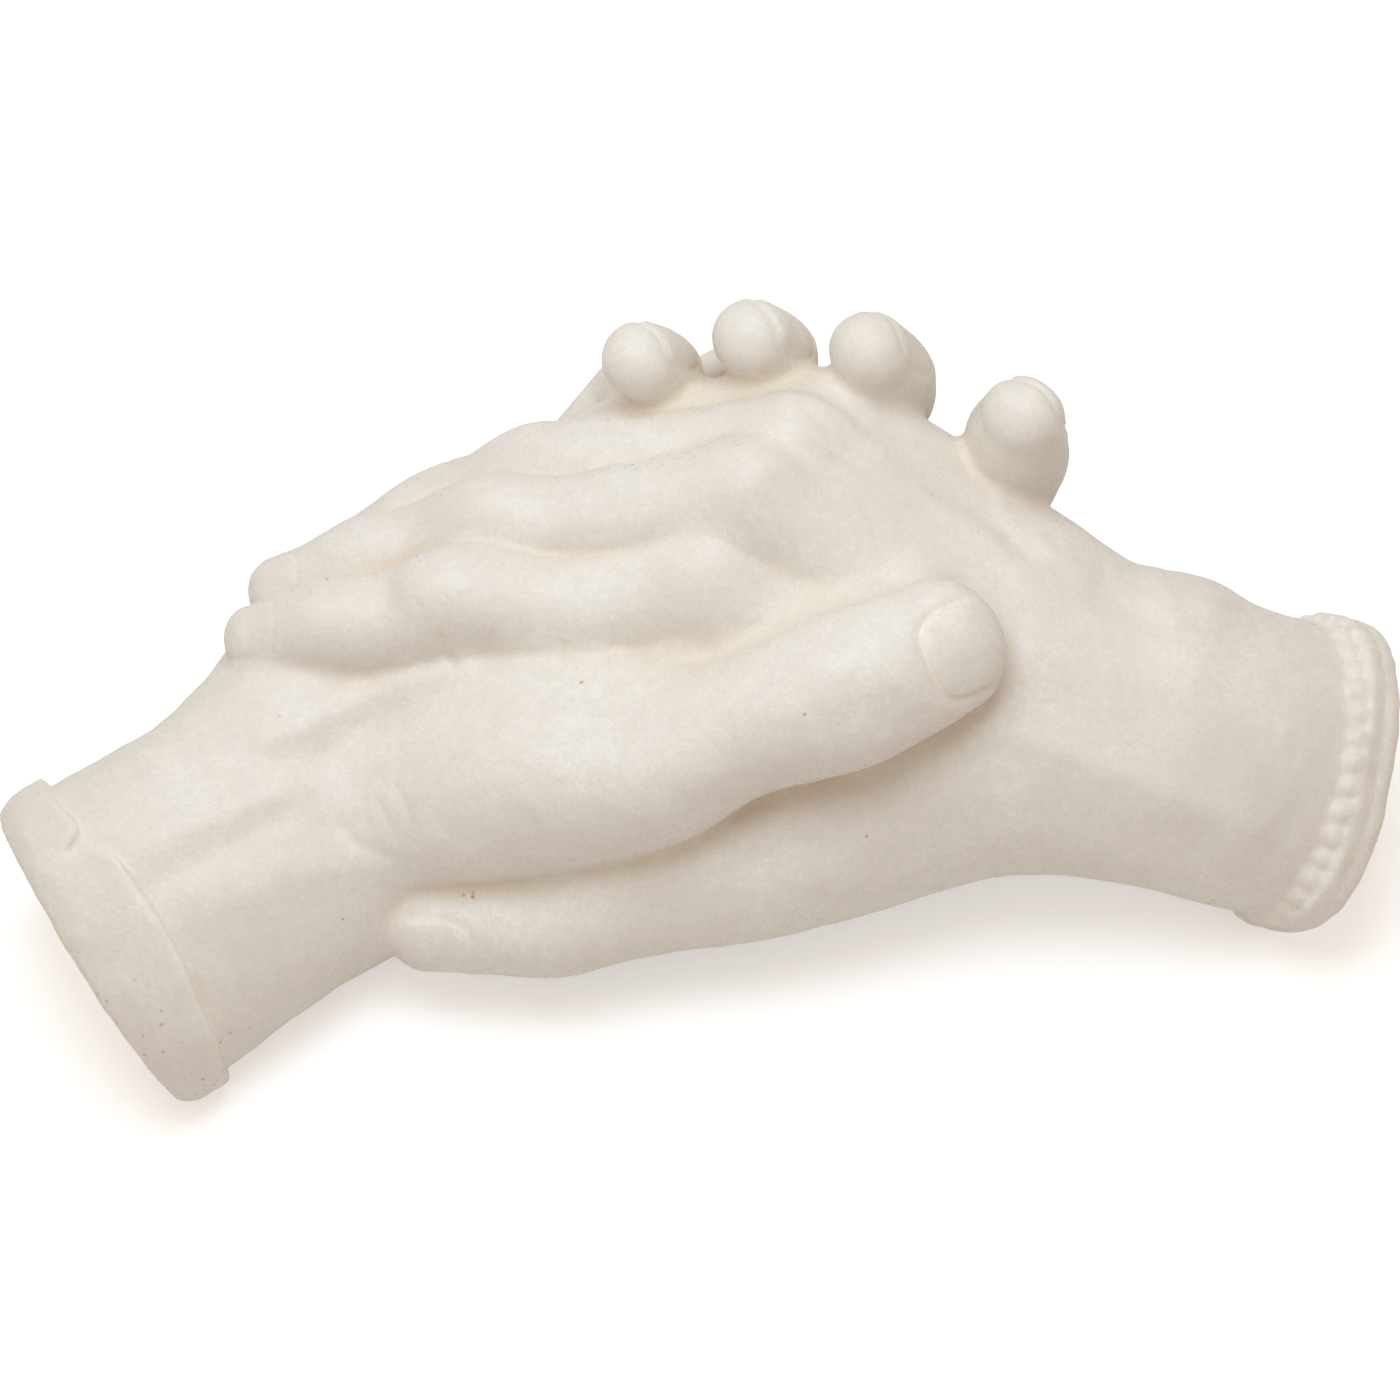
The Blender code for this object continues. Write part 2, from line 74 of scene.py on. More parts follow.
# Hand carving: height, cell and seed of the broad unevenness and of the fine wear, and how much
# higher the wear is at the cuffs, which start this far from the middle
CARVING = (0.17, 7.0, 7)
WEAR = (0.04, 2.6, 11)
WEAR_AT_CUFFS = 0.05
CUFFS_START = 84.0

# Radii of the balls that measure how deep a point lies, and the weight of the broad one. The painted shade
# in grooves and hollows follows this depth.
RECESS_RADIUS = 2.2
BROAD_RECESS_RADIUS = 5.0
BROAD_RECESS_WEIGHT = 1.15

# Cuffs: radius of the rim's outer corner and of the corners on the wrist's side, and how deep the
# walls there go. The slope on the band's end and the line cut in the rim are distance and height.
RIM_CORNER = 1.5
WRIST_CORNER = 0.7
WALL_FOOT = -3.0
BAND_SLOPE = np.array([(0.0, -1.7), (0.3, -1.15), (0.7, -0.9), (2.7, -0.2), (3.2, 0.0)])
RIM_LINE = np.array([(-0.6, 0.0), (-0.3, -0.35), (0.0, -0.5), (0.3, -0.4), (0.7, -0.15)])
RIM_LINE_AT = 0.52  # share of the rim's width
RIM_SQUARENESS = 2.35
BEAD_SET_IN = 0.35  # from the rim to a bead's middle, as a share of its radius
CORNER_ANGLES = np.radians(np.arange(0, 91, 15))

# Stone: how dark the mottling is, how much of it there is, and the spot with the most pits, in metres
MOTTLE_SHADE = 0.93
MOTTLE_SHARE = 0.55
WORN_SPOT = (-0.0865, -0.051, 0.011)

# Stage, in metres: the floor, the sky and each lamp's place, size and colour
FLOOR_HALF = 3.0
FLOOR_GLOW = 0.38
SKY_COLOUR = (1.0, 0.86, 0.74, 1.0)
KEY_LAMP = ((-0.05, 0.05, 0.5), 0.4, (0.81, 0.92, 1.0))
FILL_LAMP = ((-0.4, -0.35, 0.85), 0.8, (1.0, 0.98, 0.95))
LAMP_AIM = (0.0, 0.0, 0.03)

# Stations of each limb: u, v, w, half breadth, half thickness
LOWER_ACROSS = (-0.55, 0.83, 0.0)
LOWER_ARM = (
    (-95.5, -40.5, 8.5, 26.4, 18.5),
    (-87.5, -35.5, 8.6, 26.0, 18.5),
    (-75.0, -27.5, 6.0, 25.2, 18.0),
    (-62.0, -19.0, 0.5, 25.0, 17.5),
    (-50.0, -11.0, -5.0, 27.5, 15.5),
)
LOWER_PALM = (
    (-62.0, -18.5, -1.0, 24.0, 16.0),
    (-46.0, -7.0, -7.6, 30.5, 13.0),
    (-30.0, 4.0, -13.0, 35.0, 13.0),
    (-14.0, 13.5, -19.0, 33.0, 11.5),
)
LOWER_BONES = {
    "index": (
        (-50.0, -20.0, -4.0, 11.0, 10.0),
        (-22.0, -9.0, -10.0, 11.0, 11.0),
        (6.5, 2.0, -16.0, 12.0, 12.0),
    ),
    "middle": (
        (-54.0, -14.0, -6.0, 11.0, 10.0),
        (-30.0, 1.0, -17.0, 11.0, 11.0),
        (-7.0, 12.0, -28.0, 11.5, 11.5),
    ),
    "ring": (
        (-57.0, -8.0, -6.0, 11.0, 10.0),
        (-38.0, 8.0, -19.0, 10.5, 10.5),
        (-19.0, 20.0, -30.0, 11.0, 11.0),
    ),
    "little": (
        (-61.0, -2.0, -4.0, 12.0, 12.0),
        (-46.0, 11.0, -15.0, 11.0, 11.0),
        (-28.0, 21.5, -24.0, 10.2, 10.2),
    ),
}
LOWER_FINGERS = {
    "index": (
        (6.5, 2.0, -16.0, 12.0, 12.0),
        (23.0, 14.0, -20.0, 10.5, 10.5),
        (38.0, 25.5, -21.0, 10.4, 10.2),
        (47.0, 33.5, -14.0, 9.0, 9.0),
        (50.0, 38.0, -4.0, 8.6, 8.6),
        (50.0, 41.0, 5.0, 8.2, 8.0),
        (50.6, 44.0, 11.5, 6.6, 6.3),
    ),
    "middle": (
        (-7.0, 12.0, -28.0, 11.5, 11.5),
        (9.0, 27.0, -28.5, 10.4, 10.2),
        (23.5, 40.5, -25.0, 10.2, 10.0),
        (28.0, 46.5, -17.0, 8.6, 8.4),
        (30.3, 49.8, -6.0, 7.8, 7.6),
        (29.2, 51.6, 2.0, 7.6, 7.4),
        (26.8, 54.2, 9.5, 6.7, 6.4),
    ),
    "ring": (
        (-19.0, 20.0, -30.0, 11.0, 11.0),
        (-6.0, 34.0, -29.5, 9.8, 9.8),
        (5.0, 47.0, -25.0, 9.6, 9.4),
        (9.5, 50.5, -17.0, 8.0, 7.6),
        (12.2, 53.4, -6.0, 7.0, 6.8),
        (11.0, 55.0, 0.0, 7.0, 6.8),
        (8.4, 56.6, 6.5, 6.4, 6.2),
    ),
    "little": (
        (-28.0, 21.5, -24.0, 10.2, 10.2),
        (-19.0, 36.0, -28.0, 8.8, 8.8),
        (-11.0, 46.5, -25.0, 8.5, 8.3),
        (-8.0, 50.5, -16.0, 7.3, 7.1),
        (-5.8, 51.6, -6.0, 6.6, 6.4),
        (-6.8, 52.4, 0.0, 6.6, 6.4),
        (-9.2, 53.2, 5.0, 6.3, 6.1),
    ),
}
LOWER_HINGE = (-0.68, 0.73, 0.0)
LOWER_THUMB = (
    (-49.0, -18.0, 4.0, 12.0, 12.5),
    (-28.0, -14.0, 13.0, 13.0, 13.0),
    (-9.0, -11.0, 18.0, 12.6, 12.0),
    (6.0, -5.0, 22.5, 10.6, 10.5),
    (21.0, 0.5, 25.5, 12.0, 11.0),
    (31.0, 4.8, 26.5, 11.4, 9.8),
    (37.5, 7.8, 25.5, 10.6, 8.8),
)
LOWER_THUMB_ACROSS = (-0.38, 0.92, 0.0)
LOWER_THENAR = (
    (-58.0, -23.0, -2.0, 11.0, 11.0),
    (-42.0, -14.5, 4.0, 15.0, 14.0),
    (-26.0, -9.5, 8.0, 17.0, 15.0),
    (-10.0, -6.0, 10.0, 15.0, 12.0),
    (2.0, -2.0, 10.0, 11.0, 9.0),
)
LOWER_HEEL = (
    (-72.0, -12.0, 1.0, 11.0, 11.0),
    (-64.0, -3.5, 0.0, 13.0, 13.0),
    (-54.0, 7.0, -6.0, 13.0, 12.5),
    (-42.0, 13.0, -12.0, 11.0, 11.0),
)
UPPER_ACROSS = (0.21, 0.96, -0.17)
UPPER_ARM = (
    (100.0, -12.8, -7.6, 24.0, 18.5),
    (94.0, -11.2, -4.6, 23.8, 18.5),
    (85.0, -9.2, -1.0, 24.0, 18.0),
    (74.0, -6.0, 2.0, 24.5, 17.0),
    (60.5, -2.5, 3.5, 25.5, 15.5),
    (50.0, 2.0, 4.5, 26.5, 15.0),
)
UPPER_PALM = (
    (60.0, -2.5, 2.0, 22.0, 13.0),
    (44.0, 5.0, 3.5, 25.0, 13.0),
    (28.0, 17.0, 4.0, 25.0, 12.5),
    (13.0, 29.0, 4.0, 24.0, 11.0),
)
UPPER_PALM_ACROSS = (0.48, 0.78, -0.40)
UPPER_BONES = {
    "index": ((53.5, -7.0, 5.5, 9.0, 9.0), (26.0, 6.0, 9.5, 8.0, 8.5), (1.5, 17.0, 13.0, 9.8, 10.5)),
    "middle": ((56.5, 0.0, 6.5, 9.0, 9.0), (31.0, 17.0, 11.0, 8.0, 8.5), (8.0, 30.8, 14.0, 9.4, 10.3)),
    "ring": ((60.5, 5.5, 5.5, 9.0, 9.0), (37.0, 25.0, 7.5, 8.0, 8.5), (15.0, 38.6, 9.5, 8.6, 9.8)),
    "little": ((61.5, 12.0, 1.0, 10.0, 9.0), (43.0, 29.4, -0.5, 8.4, 9.0), (22.0, 43.4, 2.5, 8.0, 8.8)),
}
UPPER_FINGERS = {
    "index": (
        (0.5, 17.0, 12.5, 10.0, 10.3),
        (-15.0, 14.2, 11.0, 9.2, 9.0),
        (-25.0, 14.0, 11.0, 8.7, 8.4),
        (-37.0, 15.2, 11.2, 9.4, 9.2),
        (-47.5, 12.4, 9.0, 8.0, 7.6),
        (-57.5, 11.4, 8.0, 8.0, 7.6),
        (-64.0, 10.4, 6.6, 7.0, 6.6),
        (-69.4, 9.4, 5.4, 5.9, 5.4),
    ),
    "middle": (
        (7.5, 30.8, 13.5, 9.8, 10.2),
        (-12.0, 27.6, 8.8, 8.8, 8.8),
        (-22.0, 26.8, 6.0, 8.2, 8.0),
        (-33.0, 26.8, 3.2, 8.8, 8.8),
        (-43.0, 24.0, -1.0, 7.6, 7.3),
        (-53.0, 21.4, -3.0, 7.6, 7.3),
        (-60.5, 18.8, -4.8, 6.6, 6.3),
        (-66.4, 17.2, -6.4, 5.8, 5.4),
    ),
    "ring": (
        (15.0, 37.8, 9.0, 9.4, 9.7),
        (-4.0, 37.0, 2.5, 8.6, 8.6),
        (-25.0, 35.6, -7.0, 8.6, 8.4),
        (-35.0, 31.4, -11.5, 7.6, 7.4),
        (-45.0, 27.2, -14.0, 7.4, 7.1),
        (-56.0, 22.5, -17.0, 6.2, 5.8),
    ),
    "little": (
        (22.0, 43.4, 2.5, 8.0, 8.6),
        (6.0, 43.6, -1.5, 7.6, 7.8),
        (-9.5, 42.0, -8.5, 7.2, 7.2),
        (-19.0, 38.5, -16.0, 7.2, 7.0),
        (-28.0, 35.5, -22.5, 6.8, 6.6),
        (-38.0, 30.5, -25.0, 5.6, 5.4),
    ),
}
UPPER_HINGE = (0.25, 0.80, -0.55)
UPPER_THUMB = (
    (47.0, -14.0, 4.0, 12.5, 12.0),
    (28.5, -20.5, 5.5, 12.8, 11.5),
    (10.5, -27.0, 6.0, 11.0, 10.5),
    (-9.0, -32.0, 6.5, 8.6, 8.6),
    (-22.0, -35.2, 7.0, 8.7, 8.4),
    (-34.0, -35.8, 7.0, 7.6, 7.2),
    (-42.5, -36.2, 6.5, 7.0, 6.4),
)
UPPER_THUMB_ACROSS = (0.25, 0.80, 0.55)
UPPER_WEB = (
    (50.0, -9.0, 5.0, 15.0, 12.0),
    (30.0, -6.0, 7.0, 15.0, 11.5),
    (12.0, -2.0, 9.0, 15.0, 10.0),
    (-2.0, 4.0, 9.5, 11.0, 8.0),
)
ULNAR_KNOB = ((76.0, 10.5, 1.5, 8.0, 8.0), (74.0, 10.0, 1.5, 9.0, 9.0), (72.0, 9.5, 1.5, 8.0, 8.0))
# Stone that fills the hollows between the two hands
PALM_CONTACT = (
    (-36.0, 4.0, -4.0, 18.0, 8.0),
    (-15.0, 10.0, -4.0, 22.0, 10.0),
    (10.0, 18.0, -5.0, 22.0, 11.0),
    (28.0, 22.0, -6.0, 16.0, 9.0),
)
PALM_CONTACT_ACROSS = (-0.3, 0.95, 0.0)
PALM_ROLL = (
    (-66.0, 0.5, -5.0, 9.0, 9.0),
    (-58.0, 1.0, -3.0, 9.5, 9.0),
    (-48.0, 1.5, 0.6, 10.0, 9.5),
    (-36.0, 2.5, 4.6, 10.0, 9.5),
    (-22.0, 3.0, 7.0, 10.0, 9.2),
    (-6.0, 4.0, 9.8, 9.5, 8.8),
    (8.0, 7.0, 12.2, 8.5, 8.2),
    (20.0, 11.0, 13.7, 8.0, 8.0),
    (32.0, 14.5, 13.5, 8.0, 7.5),
)
THUMB_BED = (
    (-40.0, -30.5, 5.5, 5.5, 5.0),
    (-22.0, -29.5, 9.0, 7.0, 5.5),
    (-8.0, -27.0, 10.3, 8.0, 6.0),
    (6.0, -22.5, 11.0, 8.0, 6.0),
    (14.0, -18.5, 11.5, 7.5, 6.2),
    (26.0, -12.0, 11.8, 7.5, 6.0),
)
TIP_BED = (
    (-20.0, 39.5, -7.0, 4.5, 4.5),
    (-9.0, 43.0, -1.5, 4.8, 4.8),
    (0.0, 45.4, 0.5, 4.8, 4.8),
    (12.0, 46.6, 2.5, 4.8, 4.8),
    (21.0, 46.6, 3.5, 4.8, 4.8),
)

# Nails: middle, direction to the tip, direction out of the plate, half length, half width, depth, and
# how much of the groove is left at the free edge
NAILS = (
    ((41.8, 8.0, 33.0), (0.84, 0.42, -0.45), (0.45, 0.12, 0.88), 7.2, 6.8, 1.0, 0.0),
    ((55.2, 48.2, 9.1), (0.10, 0.30, 0.95), (0.74, 0.67, 0.00), 6.0, 5.4, 0.6, 1.0),
    ((32.9, 56.4, 6.9), (-0.28, 0.32, 0.90), (0.94, 0.33, 0.00), 6.0, 5.2, 0.5, 1.0),
    ((14.0, 58.8, 5.0), (-0.30, 0.20, 0.93), (0.93, 0.35, 0.00), 6.0, 5.0, 0.5, 1.0),
    ((-4.0, 56.4, 3.2), (-0.28, 0.12, 0.94), (0.84, 0.54, 0.00), 5.8, 4.8, 0.5, 1.0),
    ((-71.2, 11.3, 10.5), (-0.96, -0.06, -0.26), (-0.25, 0.25, 0.93), 4.6, 4.6, 0.3, 0.0),
    ((-68.2, 19.4, -1.5), (-0.93, -0.20, -0.20), (-0.30, 0.50, 0.80), 4.6, 4.2, 0.3, 0.0),
    ((-60.0, 25.0, -13.0), (-0.90, -0.40, -0.20), (-0.30, 0.60, 0.74), 4.2, 3.8, 0.3, 0.0),
    ((-42.0, 32.6, -21.5), (-0.85, -0.45, -0.20), (-0.30, 0.60, 0.74), 3.8, 3.4, 0.3, 0.0),
    ((-41.6, -39.6, 11.0), (-0.97, 0.12, -0.16), (-0.20, -0.60, 0.77), 6.2, 5.2, 0.4, 0.0),
)

NAIL_REACH = 14.2  # how far from its middle a nail can shape the skin

# Lines on the skin that faces up: (u, v) points, breadth and height, where a groove is below zero
SKIN_LINES = (
    # bones and cords over the back of the upper hand, and the grooves between them
    (((14.0, 46.8), (23.0, 43.2), (34.0, 37.6), (46.0, 29.4), (60.0, 19.0)), 1.8, 0.50),
    (((17.0, 44.5), (25.3, 38.8), (31.6, 36.0), (40.5, 31.2), (52.0, 22.6)), 1.4, -0.55),
    (((8.6, 37.7), (18.9, 33.0), (31.4, 25.4), (44.0, 17.3)), 2.4, 0.50),
    (((13.5, 40.5), (22.0, 36.0), (33.0, 28.6), (47.0, 19.2)), 1.6, -0.50),
    (((2.4, 23.6), (14.1, 21.5), (25.1, 16.5)), 3.0, 0.45),
    (((62.9, 16.2), (70.7, 12.6), (80.0, 8.6), (88.0, 8.4)), 1.8, -0.35),
    (((48.0, -5.5), (60.0, -10.0), (72.0, -14.5), (86.0, -20.5)), 3.0, 0.75),
    (((54.0, -17.5), (64.0, -20.5), (76.0, -24.5)), 3.0, -0.45),
    (((60.0, 0.0), (66.0, -2.5)), 5.5, -0.40),
    (((75.0, 15.0), (79.0, 14.0)), 3.6, 0.80),
    (((52.0, 8.0), (62.0, 6.0), (76.0, 1.0)), 2.2, 0.35),
    (((3.1, -29.0), (15.7, -26.7), (28.3, -20.4), (40.9, -14.1)), 4.0, 0.50),
    (((-25.0, -40.0), (-20.0, -40.5)), 4.0, 0.45),
    # joints
    (((0.5, 20.8), (-1.0, 20.2)), 4.5, 0.55),
    (((7.5, 34.8), (6.5, 34.6)), 4.5, 0.65),
    (((16.0, 43.0), (14.5, 43.0)), 4.5, 0.40),
    (((-40.0, 17.6), (-42.0, 17.0)), 4.5, 0.65),
    (((-59.0, 13.6), (-61.0, 13.0)), 4.0, 0.40),
    (((-32.5, 30.6), (-34.5, 30.2)), 4.0, 0.60),
    (((-53.0, 25.1), (-54.5, 24.5)), 3.5, 0.35),
    (((-22.0, 40.0), (-24.0, 39.2)), 4.0, 0.50),
    # folds at the upper hand's fingers
    (((-49.6, 17.6), (-50.0, 14.6)), 0.6, -0.20),
    (((-48.4, 18.0), (-48.7, 14.0)), 0.6, -0.22),
    (((-47.0, 17.8), (-47.3, 14.4)), 0.6, -0.18),
    (((-40.6, 9.6), (-40.0, 7.4), (-38.0, 5.2)), 0.8, -0.55),
    (((-20.8, 8.2), (-21.4, 5.2)), 0.8, -0.30),
    (((-44.0, 15.0), (-42.4, 13.4)), 0.6, -0.18),
    (((-38.6, 19.6), (-37.0, 18.0)), 0.6, -0.18),
    (((-10.0, 6.4), (-4.0, 5.2), (2.0, 7.6)), 1.1, -0.40),
    (((-14.0, 8.0), (-8.0, 7.8)), 0.8, -0.25),
    # cords inside the lower wrist
    (((-67.6, -6.3), (-59.7, -3.5), (-51.9, 0.0), (-45.6, 2.4), (-36.0, 5.0)), 2.4, 0.94),
    (((-64.0, -10.4), (-55.0, -7.2), (-47.0, -3.1)), 2.2, -0.51),
    (((-88.0, -23.6), (-78.6, -19.6), (-69.0, -15.7), (-62.9, -12.6)), 2.8, 0.77),
    (((-84.0, -28.6), (-74.0, -23.6), (-66.0, -19.0)), 2.6, -0.51),
    (((-74.0, -31.0), (-62.0, -27.0), (-52.0, -25.6)), 3.4, 0.59),
    # creases inside the lower wrist and palm
    (((-46.8, -14.0), (-45.6, -16.4), (-44.9, -19.4)), 0.8, -0.26),
    (((-49.8, -16.4), (-48.4, -19.4), (-47.4, -21.6)), 0.9, -0.30),
    (((-55.8, -19.4), (-52.6, -23.0), (-48.0, -24.6)), 1.0, -0.26),
    (((-52.2, -15.8), (-51.4, -19.0), (-51.2, -20.0)), 0.7, -0.18),
    (((-30.6, -14.1), (-29.2, -20.4)), 1.0, -0.16),
    (((-26.7, -18.0), (-24.4, -24.3)), 1.0, -0.18),
    (((-22.0, -17.0), (-20.4, -24.0)), 1.0, -0.14),
    (((-28.3, 2.4), (-31.4, -1.6), (-33.0, -6.3)), 1.3, -0.28),
    (((-22.0, 2.8), (-24.4, -1.6), (-26.0, -5.0)), 1.1, -0.26),
    (((-14.1, 2.4), (-17.3, -1.6), (-19.6, -6.3)), 1.2, -0.26),
    # lower thumb
    (((-7.9, -14.5), (-4.0, -13.5)), 6.5, 0.70),
    (((23.0, 2.4), (23.4, -3.1)), 0.9, -0.36),
    (((26.4, 0.0), (28.3, -4.7)), 0.9, -0.44),
    (((29.9, 0.8), (32.2, -3.9)), 0.9, -0.38),
    (((24.6, 3.4), (25.2, -0.8)), 0.7, -0.28),
    (((26.0, -6.5), (28.0, -6.0)), 3.6, 0.45),
    (((21.0, 6.0), (23.0, 6.5)), 4.5, 0.35),
)


def length_prop(name, description, default, low, high):
    """A length that is set in metres, like the scene, from values in millimetres."""
    low, default, high = 0.001 * low, 0.001 * default, 0.001 * high
    return FloatProperty(
        name=name, description=description, default=default, min=low, max=high, unit="LENGTH", precision=5
    )


def colour_prop(name, description, default):
    return FloatVectorProperty(
        name=name, description=description, default=default, min=0.0, max=1.0, subtype="COLOR"
    )


def share_prop(name, description, default):
    return FloatProperty(
        name=name, description=description, default=default, min=0.0, max=1.0, subtype="FACTOR"
    )


def power_prop(name, description, default):
    return FloatProperty(name=name, description=description, default=default, min=0.0, subtype="POWER")


class MarbleSizes(PropertyGroup):
    grid: length_prop("Grid", "Spacing of the points that the skin is worked out on", 0.55, 0.3, 2.0)
    body_fill: length_prop(
        "Body Fill", "Reach of the rounding between palm, bones and forearm", 6.0, 0.5, 6.4
    )
    finger_fill: length_prop(
        "Finger Fill", "Reach of the rounding where fingers leave the palm", 3.5, 0.2, 6.0
    )
    finger_crease: length_prop(
        "Finger Crease", "Reach of the rounding between the upper hand's fingers", 1.2, 0.1, 6.0
    )
    crease: length_prop(
        "Crease", "Reach of the rounding where a finger or hand touches another", 2.2, 0.1, 4.0
    )
    band_width: length_prop("Band Width", "Breadth of the plain band at the lower cuff", 10.8, 4.0, 20.0)
    band_rise: length_prop("Band Rise", "Height of the band over the wrist", 1.6, 0.3, 4.0)
    rim_width: length_prop("Rim Width", "Breadth of the rim at the upper cuff", 6.2, 1.0, 8.0)
    rim_rise: length_prop("Rim Rise", "Height of the rim over the wrist", 1.7, 0.3, 4.0)
    bead_radius: length_prop("Bead Radius", "Radius of a bead of the upper cuff", 2.1, 1.0, 4.0)
    bead_rise: length_prop("Bead Rise", "Height of a bead's middle over the wrist", -0.4, -1.0, 2.0)
    nail_rise: length_prop("Nail Rise", "Height of a nail over the skin", 0.25, 0.0, 1.0)
    nail_groove: length_prop("Nail Groove", "Depth of the groove round a nail", 0.6, 0.0, 1.5)
    bead_count: IntProperty(
        name="Beads", description="Beads round the upper cuff", default=34, min=8, max=60
    )
    most_triangles: IntProperty(
        name="Triangles",
        description="Most triangles in the finished skin",
        default=190000,
        min=20000,
        max=198000,
    )


class MarbleFinish(PropertyGroup):
    stone: colour_prop("Stone", "Body colour of the marble", (0.80, 0.755, 0.69))
    milky: colour_prop("Milky Patches", "Colour of the paler, cloudier patches", (0.86, 0.83, 0.78))
    # Painted shade: the tan colour laid into grooves and hollows stands in for the shade that falls there.
    recess_shade: colour_prop("Recesses", "Colour of the tan shading in grooves", (0.68, 0.56, 0.40))
    speck: colour_prop("Specks", "Colour of the pits and specks", (0.50, 0.26, 0.09))
    fleck: colour_prop("Flecks", "Colour of the pale crystals", (0.93, 0.915, 0.89))
    roughness: share_prop("Roughness", "Roughness of the rubbed surface", 0.48)
    depth: share_prop("Translucence", "Share of light that enters the stone", 0.45)


class StudioStage(PropertyGroup):
    floor: colour_prop("Floor", "Colour of the floor", (0.92, 0.92, 0.92))
    elevation: FloatProperty(
        name="Camera Elevation",
        description="Height of the camera over the horizon",
        subtype="ANGLE",
        default=math.radians(60.0),
    )
    distance: FloatProperty(
        name="Camera Distance",
        description="From the camera to the sculpture",
        subtype="DISTANCE",
        default=0.95,
        min=0.3,
        max=5.0,
    )
    key: power_prop("Key Light", "Power of the lamp over the sculpture", 1.48)
    fill: power_prop("Fill Light", "Power of the lamp on the camera's side", 0.2)
    sky: FloatProperty(
        name="Sky", description="Strength of the even light from all round", default=0.54, min=0.0
    )


def in_millimetres(sizes):
    """The sizes as plain numbers, with the lengths in millimetres, rounded to a tenth of a micrometre."""
    found = {}
    for prop in sizes.bl_rna.properties:
        if prop.identifier in sizes.__annotations__:
            value = getattr(sizes, prop.identifier)
            found[prop.identifier] = round(1000 * value, 4) if prop.unit == "LENGTH" else value
    return SimpleNamespace(**found)


def unit(vector):
    vector = np.array(vector, float)
    return vector / np.linalg.norm(vector)


def smooth_path(stations, per_span=12):
    """A Catmull-Rom curve through the stations: each span is a cubic that leaves its ends in the
    direction of their neighbours' difference. Returns an array of rows like the stations."""
    rows = np.array(stations, float)
    rows = np.vstack([2 * rows[:1] - rows[1:2], rows, 2 * rows[-1:] - rows[-2:-1]])
    before, start, end, after = rows[:-3, None], rows[1:-2, None], rows[2:-1, None], rows[3:, None]
    t = (np.arange(per_span) / per_span)[None, :, None]
    curve = start + 0.5 * t * (end - before)
    curve = curve + t**2 * (before - 2.5 * start + 2 * end - 0.5 * after)
    curve = curve + t**3 * (1.5 * (start - end) + 0.5 * (after - before))
    return np.vstack([curve.reshape(-1, rows.shape[1]), rows[-2:-1]])


def round_end(path):
    """Half an egg on the path's end: rings go out by the reach times the sine of an angle, and
    shrink by its cosine."""
    along = unit(path[-1, :3] - path[-2, :3])
    reach = 0.5 * (path[-1, 3] + path[-1, 4])
    angle = np.radians(np.arange(4, 89, 4))[:, None]
    centres = path[-1, :3] + along * reach * np.sin(angle)
    return np.vstack([path, np.hstack([centres, path[-1, 3:] * np.cos(angle)])])


def ring_frames(path, across):
    """Along, broad and thick directions of each ring, at right angles to each other."""
    along = np.gradient(path[:, :3], axis=0)
    along = along / np.linalg.norm(along, axis=1, keepdims=True)
    broad = np.array(across, float) - along * (along @ np.array(across, float))[:, None]
    broad = broad / np.linalg.norm(broad, axis=1, keepdims=True)
    return along, broad, np.cross(along, broad)


def oval_skin(stations, across, sides=64, start_round=True, end_round=True):
    """An oval carried along the stations' curve: centre + broad * breadth * cos(turn)
    + thick * thickness * sin(turn). Returns the points, the quads and the end triangles."""
    path = smooth_path(stations)
    if end_round:
        path = round_end(path)
    if start_round:
        path = round_end(path[::-1])[::-1]
    along, broad, thick = ring_frames(path, across)
    turn = 2 * np.pi * np.arange(sides) / sides
    points = path[:, None, :3] + broad[:, None] * (path[:, 3:4] * np.cos(turn))[..., None]
    points = points + thick[:, None] * (path[:, 4:5] * np.sin(turn))[..., None]
    return closed_skin(points)


def closed_skin(points):
    """Quads between rings of points, and a fan over each end."""
    rings, sides = points.shape[:2]
    near = (np.arange(rings - 1) * sides)[:, None] + np.arange(sides)[None]
    step = (np.arange(rings - 1) * sides)[:, None] + (np.arange(sides) + 1)[None] % sides
    quads = np.stack([near, step, step + sides, near + sides], axis=-1).reshape(-1, 4)
    around = np.arange(sides)
    after = (around + 1) % sides
    top = (rings - 1) * sides
    poles = rings * sides
    start = np.stack([np.full(sides, poles), after, around], axis=1)
    end = np.stack([np.full(sides, poles + 1), top + around, top + after], axis=1)
    middles = [points[:1].mean(axis=1), points[-1:].mean(axis=1)]
    return np.vstack([points.reshape(-1, 3), *middles]), quads, np.concatenate([start, end])


def bump(distance, breadth):
    """A bell: e to the minus square of distance over breadth."""
    return np.exp(-np.square(distance / breadth))


def step_down(value, edge, softness):
    """1 below the edge and 0 above it, along a cubic."""
    t = np.clip((edge - value) / softness + 0.5, 0, 1)
    return t * t * (3 - 2 * t)


